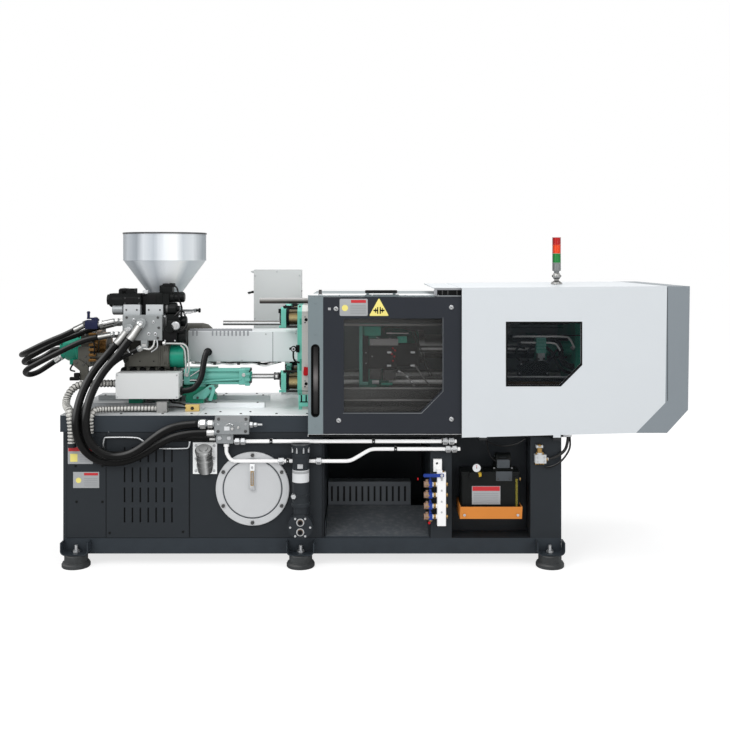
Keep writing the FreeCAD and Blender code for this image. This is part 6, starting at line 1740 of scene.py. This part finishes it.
class MACHINE_OT_platens(MachineOperator, bpy.types.Operator):
    """Fit the platens' bolts and plates, the nuts' rings, the sensor and the traverse cylinder's fittings"""
    bl_idname = "machine.platens"
    bl_label = "Platens"

    def make(self, context):
        piece = Workpiece()
        for z in TIE_BAR_Z:
            for y in TIE_BAR_Y:
                side = -1 if y < 0 else 1
                for up in (40, -40):
                    piece.screw((-441, y + side * 46, z + up), (0, side, 0), 8, "dark steel", 8)
                ring = [(29, 0), (49, 0), (49, 15), (29, 15)]
                piece.ring(ring, (-429.6, y, z), X_AXIS, "inner black", 56)
                piece.block((-474, y + side * 44 - 12, z + 26), (-456, y + side * 44 + 12, z + 52),
                            "black plastic", 4)
                piece.block((-446, y + side * 50 - 8, z + 57), (-400, y + side * 50 + 6, z + 70),
                            "black plastic", 3)
                ring = [(28, 0), (34, 1), (34, 8), (28, 9)]
                piece.ring(ring, (-470, y, z), X_AXIS, "dark steel", 48)
                for across, up in on_circle(6, 40, 30, (y, z)):
                    piece.screw((-460, across, up), LEFT, 6, "dark steel", 7)
        for z in (1366, 1003):
            piece.rod((-314, -269, z), (-314, -273, z), 9, "inner black", 20)
            piece.rod((-320, -269, z - 16), (-320, -273, z - 16), 4, "inner black", 16)
            piece.rod((-320, -269, z + 16), (-320, -273, z + 16), 3, "inner black", 16)
        piece.slab([(-330, 1060), (-326, 1100), (-302, 1096), (-296, 1064), (-306, 1050), (-326, 1050)],
                   -284, -269, "red plastic", 3)
        for z in (1338, 1108, 1076):
            piece.block((-352, -258.5, z), (-338, -255, z + 34), "mid teal paint", 2)
        piece.block((-358, -262, 872), (-252, -255, 940), "teal paint", 4)
        for x in (-345, -318):
            piece.block((x, -264, 900), (x + 8, -260, 938), "inner black", 2)
        piece.block((-350, -264, 896), (-304, -261.4, 902), "inner black", 1)
        piece.block((-372, -266, 1180), (-352, -244, 1222), "dull black plastic", 4)
        piece.turned([(0, 0), (15, 0), (17, 4), (17, 14), (12, 18), (0, 18)], (-384, -262, 1201), FRONT,
                     "black plastic", 32)
        piece.ring([(6, 0), (11, 1), (11, 4), (6, 5)], (-384, -279, 1201), FRONT, "zinc", 28)
        piece.block((-410, -268, 1194), (-362, -252, 1208), "dull black plastic", 4)
        piece.line([(-386, -262, 1186), (-388, -264, 1160), (-382, -264, 1136), (-368, -262, 1124),
                    (-352, -258, 1122)], 5, "lead rubber")
        for z in (940, 1440):
            for x in (-350, -258):
                piece.screw((x, -256, z), FRONT, 6, "dark steel", 3)
        piece.finish("platen_fittings", "base")

        ram = Workpiece()
        for span in ((-1020, -986), (-704, -646)):
            middle = (span[0] + span[1]) / 2
            for y in (-186, -114):
                for z in (996, 1068):
                    end = span[0] - 6 if middle < -800 else span[1] + 2
                    ram.nut((end, y, z), X_AXIS, 10, 10, "dark steel")
        ring = [(15, 0), (30, 0), (30, 8), (24, 12), (15, 12)]
        ram.ring(ring, (-646, TRAVERSE_Y, TRAVERSE_Z), X_AXIS, "mid teal paint", 40)
        ram.line([(-690, -196, 1020), (-760, -200, 1016), (-850, -200, 1012), (-930, -196, 1004)], 5,
                 "light teal")
        ram.nut((-676, -197, 1044), FRONT, 12, 12, "satin chrome")
        ram.nut((-1002, -197, 1044), FRONT, 12, 12, "satin chrome")
        ram.slab([(-968, 905), (-900, 905), (-846, 962), (-846, 986), (-872, 986), (-968, 922)], -200, -192,
                 "light teal", 2)
        ram.slab([(-878, 900), (-858, 896), (-838, 958), (-838, 976), (-852, 976)], -214, -202,
                 "light teal", 2)
        ram.front_screws(-202, ((-940, 914), (-868, 968), (-858, 912)), 7, "dark steel", 5)
        for z in (1078, 1050, 1018, 990):
            ram.block((-668, -206, z - 8), (-640, -190, z + 8), "light teal", 4)
        ram.rod((-1046, -190, 1013), (-928, -190, 1013), 6, "polished rod", 24)
        ram.rod((-984, -196, 1036), (-920, -196, 1078), 4, "polished rod", 16)
        ram.finish("traverse_fittings", "carriage")

        rod = Workpiece()
        for low, radius in ((-508, 22), (-486, 21.6), (-472, 23)):
            rod.ring([(14.4, 0), (radius, 1), (radius, 11), (14.4, 12)], (low, TRAVERSE_Y, TRAVERSE_Z),
                     X_AXIS, "dark steel", 32)
        rod.finish("traverse_rod", "base")

        moving = Workpiece()
        for y in (-210, 210):
            for z in (990, 1390):
                moving.screw((86, y, z), X_AXIS, 10, "dark steel", 8)
        for x, z, finish_name, out in (((-13, 6), (994, 1328), "light teal", 6),
                                       ((6, 40), (1012, 1280), "inner black", 2),
                                       ((17, 110), (1274, 1326), "mid teal paint", 8),
                                       ((204, 258), (1233, 1271), "mid teal paint", 4),
                                       ((46, 208), (1220, 1258), "rail light", 22),
                                       ((40, 200), (1088, 1219), "dull black plastic", 14),
                                       ((200, 330), (1100, 1230), "inner black", 2),
                                       ((46, 113), (1031, 1088), "shield steel", 26),
                                       ((122, 195), (1023, 1081), "shield steel", 28),
                                       ((-14, 37), (993, 1012), "light teal", 7),
                                       ((113, 176), (993, 1008), "mid teal paint", 7),
                                       ((60, 100), (1000, 1022), "zinc", 5)):
            moving.block((x[0], -256 - out, z[0]), (x[1], -236, z[1]), finish_name, 3)
        for x, z in ((53, 1040), (106, 1040), (53, 1079), (106, 1079), (130, 1033), (186, 1033),
                     (130, 1072), (186, 1072)):
            moving.screw((x, -282 if x < 120 else -284, z), FRONT, 4.5, "inner black", 3)
        for x, z in ((157, 1181), (291, 1181), (156, 1106), (290, 1106)):
            moving.block((x - 12, -276, z - 5), (x + 12, -256, z + 5), "label white", 1.5)
        for x, z in ((178, 1204), (190, 1192), (172, 1172), (186, 1158), (178, 1134)):
            moving.rod((x, -256, z), (x, -275, z), 5, "red plastic", 16)
        moving.front_screws(-282, ((88, 1266), (96, 1262), (160, 1262), (60, 1228), (26, 1180), (26, 1120),
                                   (60, 1160)), 3.5, "zinc", 3)
        moving.line([(141, -276, 1290), (200, -278, 1290), (267, -276, 1289)], 3.4, "pipe grey")
        moving.rod((160, -276, 1290), (172, -276, 1290), 7, "zinc", 20)
        for shift in (0, 14):
            moving.line([(284 + shift, -268, 1306), (308 + shift, -270, 1240), (342 + shift, -270, 1146),
                         (386 + shift, -266, 1050)], 3.2, "shield steel")
        moving.line([(306, -266, 1104), (342, -268, 1048), (386, -262, 992)], 4.4, "rail light")
        moving.line([(206, -276, 1074), (232, -278, 1068), (266, -276, 1036), (300, -270, 990)], 5.4,
                    "rail light")
        for x, z in ((212, 1074), (258, 1046), (284, 1014)):
            moving.rod((x - 5, -277, z + 4), (x + 5, -277, z - 5), 8, "zinc", 20)
        moving.line([(130, -258, 1296), (120, -262, 1310), (140, -262, 1326), (220, -262, 1322),
                     (300, -258, 1300)], 3, "dark steel")
        moving.finish("moving_platen_fittings", "platen")


class MACHINE_OT_gates(MachineOperator, bpy.types.Operator):
    """Fit the gates' screws, labels, sign, grip, rails and the panes' seals"""
    bl_idname = "machine.gates"
    bl_label = "Gates"

    def make(self, context):
        piece = Workpiece()
        face = GATE_FACE
        for x, z in ((-138, 1439), (490, 1447), (-123, 832), (490, 839)):
            piece.turned([(0, 0), (13, 0), (13, 2), (10, 5), (0, 6)], (x, face, z), FRONT, "zinc", 28)
            piece.block((x - 8, face - 6.8, z - 1.6), (x + 8, face - 5.6, z + 1.6), "dark steel", 0.3,
                        35, Y_AXIS)
        piece.slab(rounded((-118, 1401), (35, 1401), (35, 1494), (-118, 1494)), face - 1.2, face,
                   "label grey", 0.3)
        piece.plate((-56, 25), (1472, 1488), face - 1.2, "label red", 0.6)
        for row in range(6):
            piece.plate((-60, 25), (1412 + 9 * row, 1415 + 9 * row), face - 1.2, "block steel", 0.4)
        piece.rod((-89, face - 1.2, 1444), (-89, face - 2, 1444), 17, "label yellow", 28, 0.2)
        piece.slab(rounded((42, 1401), (150, 1401), (96, 1499)), face - 1.2, face, "label yellow", 0.3)
        for side in (-1, 1):
            for low, high, reach in ((1413, 1449, (4, 10)), (1427, 1435, (10, 30)), (1419, 1443, (16, 21))):
                x = sorted((96 + side * reach[0], 96 + side * reach[1]))
                piece.block((x[0], face - 1.9, low), (x[1], face - 1.1, high), "inner black", 0.2)
        piece.plate((-181, -166), (1432, 1446), face, "label grey", 0.6)
        piece.slab(pane_outline(5), face + 0.6, face + 2, "inner black", 0.2, pane_outline(10))
        piece.line([(-100, face + 1, 872), (328, face + 1, 872), (444, face + 1, 990),
                    (444, face + 1, 1392)], 1.4, "block steel", 8, False)
        piece.finish("gate_fittings", "front_gate")

        strip = Workpiece()
        grip_outer = rounded_slot(-274, -226, 850, 1248, 24)
        grip_inner = rounded_slot(-270, -230, 854, 1244, 20)
        strip.slab(grip_outer, -496, -492, "black plastic", 0.6, grip_inner)
        # painted shade: a black sheet at the back of the grip slot
        strip.block((-272, -474.6, 852), (-228, -473, 1246), "inner black", 0.3)
        # painted highlight: a bar in the slot whose colour is light in the middle and dark at the ends
        strip.block((-262, -480, 866), (-236, -474, 1232), "grip shine", 5)
        for z in (800, 1300, 1470):
            strip.screw((-249, -495, z), FRONT, 5, "gate frame paint", 2)
        strip.block((20, -206, 1513), (206, -140, 1530), "black plastic", 6)
        strip.block((20, -462, 1500), (206, -440, 1516), "black plastic", 5)
        strip.block((-292, -470, 1504), (540, -458, 1512), "gate frame paint", 1)
        for x in (-120, 60, 240, 420):
            strip.screw((x, -464, 1512), Z_AXIS, 5, "zinc", 3)
        strip.rod((-232, -300, 1503), (-232, -300, 1537), 9, "dark steel", 20)
        strip.rod((-232, -300, 1503), (-232, -300, 1512), 14, "zinc", 20)
        strip.finish("gate_strip_fittings", "front_gate")

        rear = Workpiece()
        rear.slab(pane_outline(-2), 490, 493.4, "dull black plastic", 0.5, pane_outline(10))
        for x, z in ((-138, 1439), (490, 1447), (-123, 832), (490, 839)):
            rear.screw((x, 492, z), Y_AXIS, 10, "zinc", 5)
        rear.finish("rear_gate_fittings", "rear_gate")

        rails = Workpiece()
        for x, z, y, finish_name in (((-236, 545), (1350, 1381), -300, "shield steel"),
                                     ((-236, 545), (1333, 1346), -302, "rail light"),
                                     ((-236, 545), (981, 991), -336, "rail light"),
                                     ((-236, 545), (925, 981), -333, "shield steel"),
                                     ((-236, 545), (915, 925), -336, "rail light"),
                                     ((-236, 545), (882, 915), -333, "inner black"),
                                     ((-236, 545), (856, 882), -335, "shield steel")):
            rails.block((x[0], y, z[0]), (x[1], y + 3, z[1]), finish_name, 1)
        # painted shadow: a black strip along the base under the gate
        rails.block((-288, -498, 744), (1098, -494, 757), "inner black", 1)
        for row in range(13):
            rails.block((36 * row - 181, -30.8, 277), (36 * row - 170, -30.1, 365), "inner black", 0)
        for x in (-200, 100, 400, 700, 1000):
            rails.screw((x, -460, 758), Z_AXIS, 6, "zinc", 3)
        rails.finish("gate_rails", "base")


class MACHINE_OT_cover(MachineOperator, bpy.types.Operator):
    """Fit the clamp cover's seams, seals, screws and what shows behind its window"""
    bl_idname = "machine.cover"
    bl_label = "Clamp cover"

    def make(self, context):
        piece = Workpiece()
        outer, inner = cover_pane_outline(-1), cover_pane_outline(8)
        piece.slab(outer, -511, -507, "inner black", 0.5, inner)
        piece.front_screws(COVER_FACE, ((560, 790), (560, 1530), (1630, 1540), (1080, 1540), (1080, 762)),
                           4, "cover paint", 1.6)
        piece.block((398, -478, 1541), (556, -472, 1553), "cabinet shade", 1)
        piece.block((398, -478, 1507), (413, -440, 1542), "cabinet shade", 1)
        # painted shade: a black sheet inside the visor's open front
        piece.block((413, -468, 1508), (556, -462, 1542), "inner black", 1)
        for x in (440, 470, 520):
            piece.block((x, -469.4, 1512), (x + 5, -467, 1540), "dark steel", 0.5)
        piece.block((412, -477, 1505), (556, -471, 1511), "cabinet shade", 1)
        piece.block((1658, -511, 942), (1660, -509.6, 1556), "inner black", 0.3)
        for x in (640, 1040):
            piece.block((x + 2, -470, 726), (x + 38, -434, 742), "zinc", 2)
            piece.screw((x + 12, -466, 742), Z_AXIS, 6, "dark steel", 5)
            piece.screw((x + 28, -466, 742), Z_AXIS, 6, "dark steel", 5)
        piece.finish("cover_fittings", "base")

        inside = Workpiece()
        inside.block((560, -120, 1000), (1213, -116, 1012), "block steel", 1)
        inside.block((784, -303, 1043), (1190, -300, 1050), "label white", 0.5)
        inside.block((784, -304, 1020), (1190, -300, 1036), "shield steel", 0.5)
        inside.block((828, -226, 975), (1192, -206, 1014), "bronze", 2)
        inside.slab([(887, 1044), (1070, 1044), (1070, 1112), (1040, 1130), (920, 1130), (887, 1100)], -240,
                    -228, "dull black plastic", 2)
        inside.block((990, -272, 1176), (1047, -222, 1264), "light teal", 4)
        inside.block((998, -268, 1132), (1040, -226, 1177), "block steel", 3)
        for row in range(4):
            inside.block((990, -273, 1196 + 18 * row), (1047, -271, 1200 + 18 * row), "mid teal paint", 0.5)
        inside.front_screws(-240, ((900, 1058), (1058, 1058), (910, 1112)), 5, "zinc", 3)
        for x in (1004, 1034):
            inside.screw((x, -268, 1144), FRONT, 6, "inner black", 3)
        for points in ([(900, -236, 1130), (880, -250, 1150), (876, -250, 1190), (900, -244, 1214),
                        (930, -240, 1200)], [(950, -240, 1126), (936, -256, 1160), (950, -256, 1200),
                                             (984, -246, 1212)], [(1060, -240, 1124), (1090, -256, 1160),
                                                                  (1110, -250, 1200), (1150, -240, 1190)]):
            inside.line(points, 6, "lead rubber")
        inside.block((800, -262, 1292), (846, -240, 1368), "rail light", 4)
        inside.line([(862, -262, 1271), (1000, -264, 1271), (1150, -262, 1271), (1186, -262, 1262),
                     (1208, -258, 1206)], 5.5, "pipe coat")
        inside.line([(905, -258, 1236), (1000, -262, 1236), (1088, -262, 1235), (1112, -262, 1222),
                     (1128, -258, 1190)], 5, "pipe coat")
        inside.line([(1150, -262, 1276), (1300, -262, 1276)], 3, "dark steel")
        inside.rod((858, -266, 1271), (872, -266, 1271), 10, "zinc", 24)
        inside.rod((1190, -258, 1210), (1206, -258, 1196), 9, "zinc", 24)
        for z in (1334, 1316):
            inside.block((852, -246, z), (1150, -244, z + 4), "shield steel", 0.5)
        inside.block((920, -110, 1330), (1212, -104, 1372), "dull black plastic", 3)
        inside.finish("clamp_fittings", "base")

        tail = Workpiece()
        for z in TIE_BAR_Z:
            for y in TIE_BAR_Y:
                tail.ring([(28, 0), (44, 0), (46, 3), (46, 34), (42, 38), (28, 38)], (1325, y, z), X_AXIS,
                            "brass", 6)
        for y, z in on_circle(12, 78, 0, (0, AXIS_Z)):
            tail.screw((1738, y, z), X_AXIS, 8, "dark steel", 6)
        tail.finish("tail_fittings", "base")


class MACHINE_OT_cabinet(MachineOperator, bpy.types.Operator):
    """Fit the control cabinet's screws, vents, handles and rear panel"""
    bl_idname = "machine.cabinet"
    bl_label = "Control cabinet"

    def make(self, context):
        piece = Workpiece()
        piece.front_screws(420, ((-680, 1603), (-398, 1603), (-542, 1628), (-680, 1330), (-398, 1330),
                                 (-680, 1090), (-398, 1090)), 5, "zinc", 2.5)
        piece.line([(-688, 440, 1498), (-716, 440, 1498), (-728, 440, 1488)], 8, "black plastic")
        piece.line([(-688, 440, 1256), (-716, 440, 1256), (-730, 440, 1246)], 8, "black plastic")
        piece.block((-704, 452, 1618), (-689, 468, 1634), "zinc", 3)
        piece.rod((-712, 460, 1626), (-690, 460, 1626), 4, "zinc", 12)
        for z in (1100, 1200, 1300, 1400, 1500):
            piece.block((-386.4, 440, z), (-384, 490, z + 6), "inner black", 0.3)
        piece.block((-640, 509, 1110), (-436, 511.4, 1590), "cabinet shade", 1)
        piece.rod((-620, 511, 1350), (-620, 519, 1350), 11, "black plastic", 24)
        piece.block((-520, 425, 1054), (-440, 505, 1061), "zinc", 2)
        for x in (-500, -400):
            piece.screw((x, 380, 863), Z_AXIS, 8, "dark steel", 5, True)
        piece.finish("cabinet_fittings", "base")


class MACHINE_OT_lamp(MachineOperator, bpy.types.Operator):
    """Build the signal lamp's lenses, ball joint and foot"""
    bl_idname = "machine.lamp"
    bl_label = "Signal lamp"

    def make(self, context):
        piece = Workpiece()
        x, y, z = 1159, 0, 1560.2
        foot = [(0, 0), (34, 0), (34, 5), (31, 9), (27, 12), (20, 17), (14, 22), (14, 30), (0, 30)]
        piece.turned(foot, (x, y, z), Z_AXIS, "aluminium", 48)
        ball = [(0, 23)]
        for step in range(1, 12):
            turn = math.pi * step / 12
            ball.append((24.5 * math.sin(turn), 48 - 24.5 * math.cos(turn)))
        piece.turned(ball + [(0, 72.5)], (x, y, z), Z_AXIS, "aluminium", 40)
        piece.rod((x - 27, y, z + 48), (x + 27, y, z + 48), 6, "dark steel", 16)
        piece.turned([(0, 62), (15, 62), (15, 74), (20, 79), (0, 79)], (x, y, z), Z_AXIS, "lamp grey", 40)
        low = z + 79
        for name, height in (("lamp grey", 48), ("lamp green", 55), ("lamp orange", 52), ("lamp red", 44)):
            lens = [(0, 0), (24, 0)]
            for rib in range(4):
                lens += [(25.6, height * (0.1 + 0.2 * rib)), (24.4, height * (0.2 + 0.2 * rib))]
            lens += [(25, height - 5), (26, height - 4), (26, height - 0.6), (0, height - 0.6)]
            piece.turned(lens, (x, y, low), Z_AXIS, name, 48)
            low += height
        for across, along in on_circle(3, 27, 40, (x, y)):
            piece.screw((across, along, z + 11), Z_AXIS, 4, "zinc", 3)
        piece.finish("signal_lamp", "base", "lamp_plastic", ("stack_lamp",))


PROPERTY_GROUPS = (
    ("machine_colours", MachineColours), ("machine_sizes", MachineSizes), ("machine_stage", StageSettings))
OPERATORS = (MACHINE_OT_stage, MACHINE_OT_finishes, MACHINE_OT_feet, MACHINE_OT_panels, MACHINE_OT_bed,
             MACHINE_OT_tank, MACHINE_OT_pipework, MACHINE_OT_cooler, MACHINE_OT_water,
             MACHINE_OT_lubricator, MACHINE_OT_hopper, MACHINE_OT_valves, MACHINE_OT_manifold,
             MACHINE_OT_housing, MACHINE_OT_barrel_cover, MACHINE_OT_drive, MACHINE_OT_platens,
             MACHINE_OT_gates, MACHINE_OT_cover, MACHINE_OT_cabinet, MACHINE_OT_lamp, MACHINE_OT_hoses,
             MACHINE_OT_conduits)


class MACHINE_PT_panel(bpy.types.Panel):
    """The machine's operators and settings"""
    bl_idname = "MACHINE_PT_panel"
    bl_label = "Moulding machine"
    bl_space_type = "VIEW_3D"
    bl_region_type = "UI"
    bl_category = "Machine"

    def draw(self, context):
        for operator in OPERATORS:
            self.layout.operator(operator.bl_idname)
        for place, group in PROPERTY_GROUPS:
            box = self.layout.box()
            for name in group.__annotations__:
                box.prop(getattr(context.scene, place), name)


def register():
    for place, group in PROPERTY_GROUPS:
        bpy.utils.register_class(group)
        setattr(bpy.types.Scene, place, bpy.props.PointerProperty(type=group))
    for operator in OPERATORS:
        bpy.utils.register_class(operator)
    bpy.utils.register_class(MACHINE_PT_panel)


def unregister():
    bpy.utils.unregister_class(MACHINE_PT_panel)
    for operator in reversed(OPERATORS):
        bpy.utils.unregister_class(operator)
    for place, group in reversed(PROPERTY_GROUPS):
        delattr(bpy.types.Scene, place)
        bpy.utils.unregister_class(group)


def main():
    """Registers the add-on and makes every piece."""
    register()
    for operator in OPERATORS:
        group, name = operator.bl_idname.split(".")
        getattr(getattr(bpy.ops, group), name)()
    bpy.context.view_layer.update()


if __name__ == "__main__":
    main()
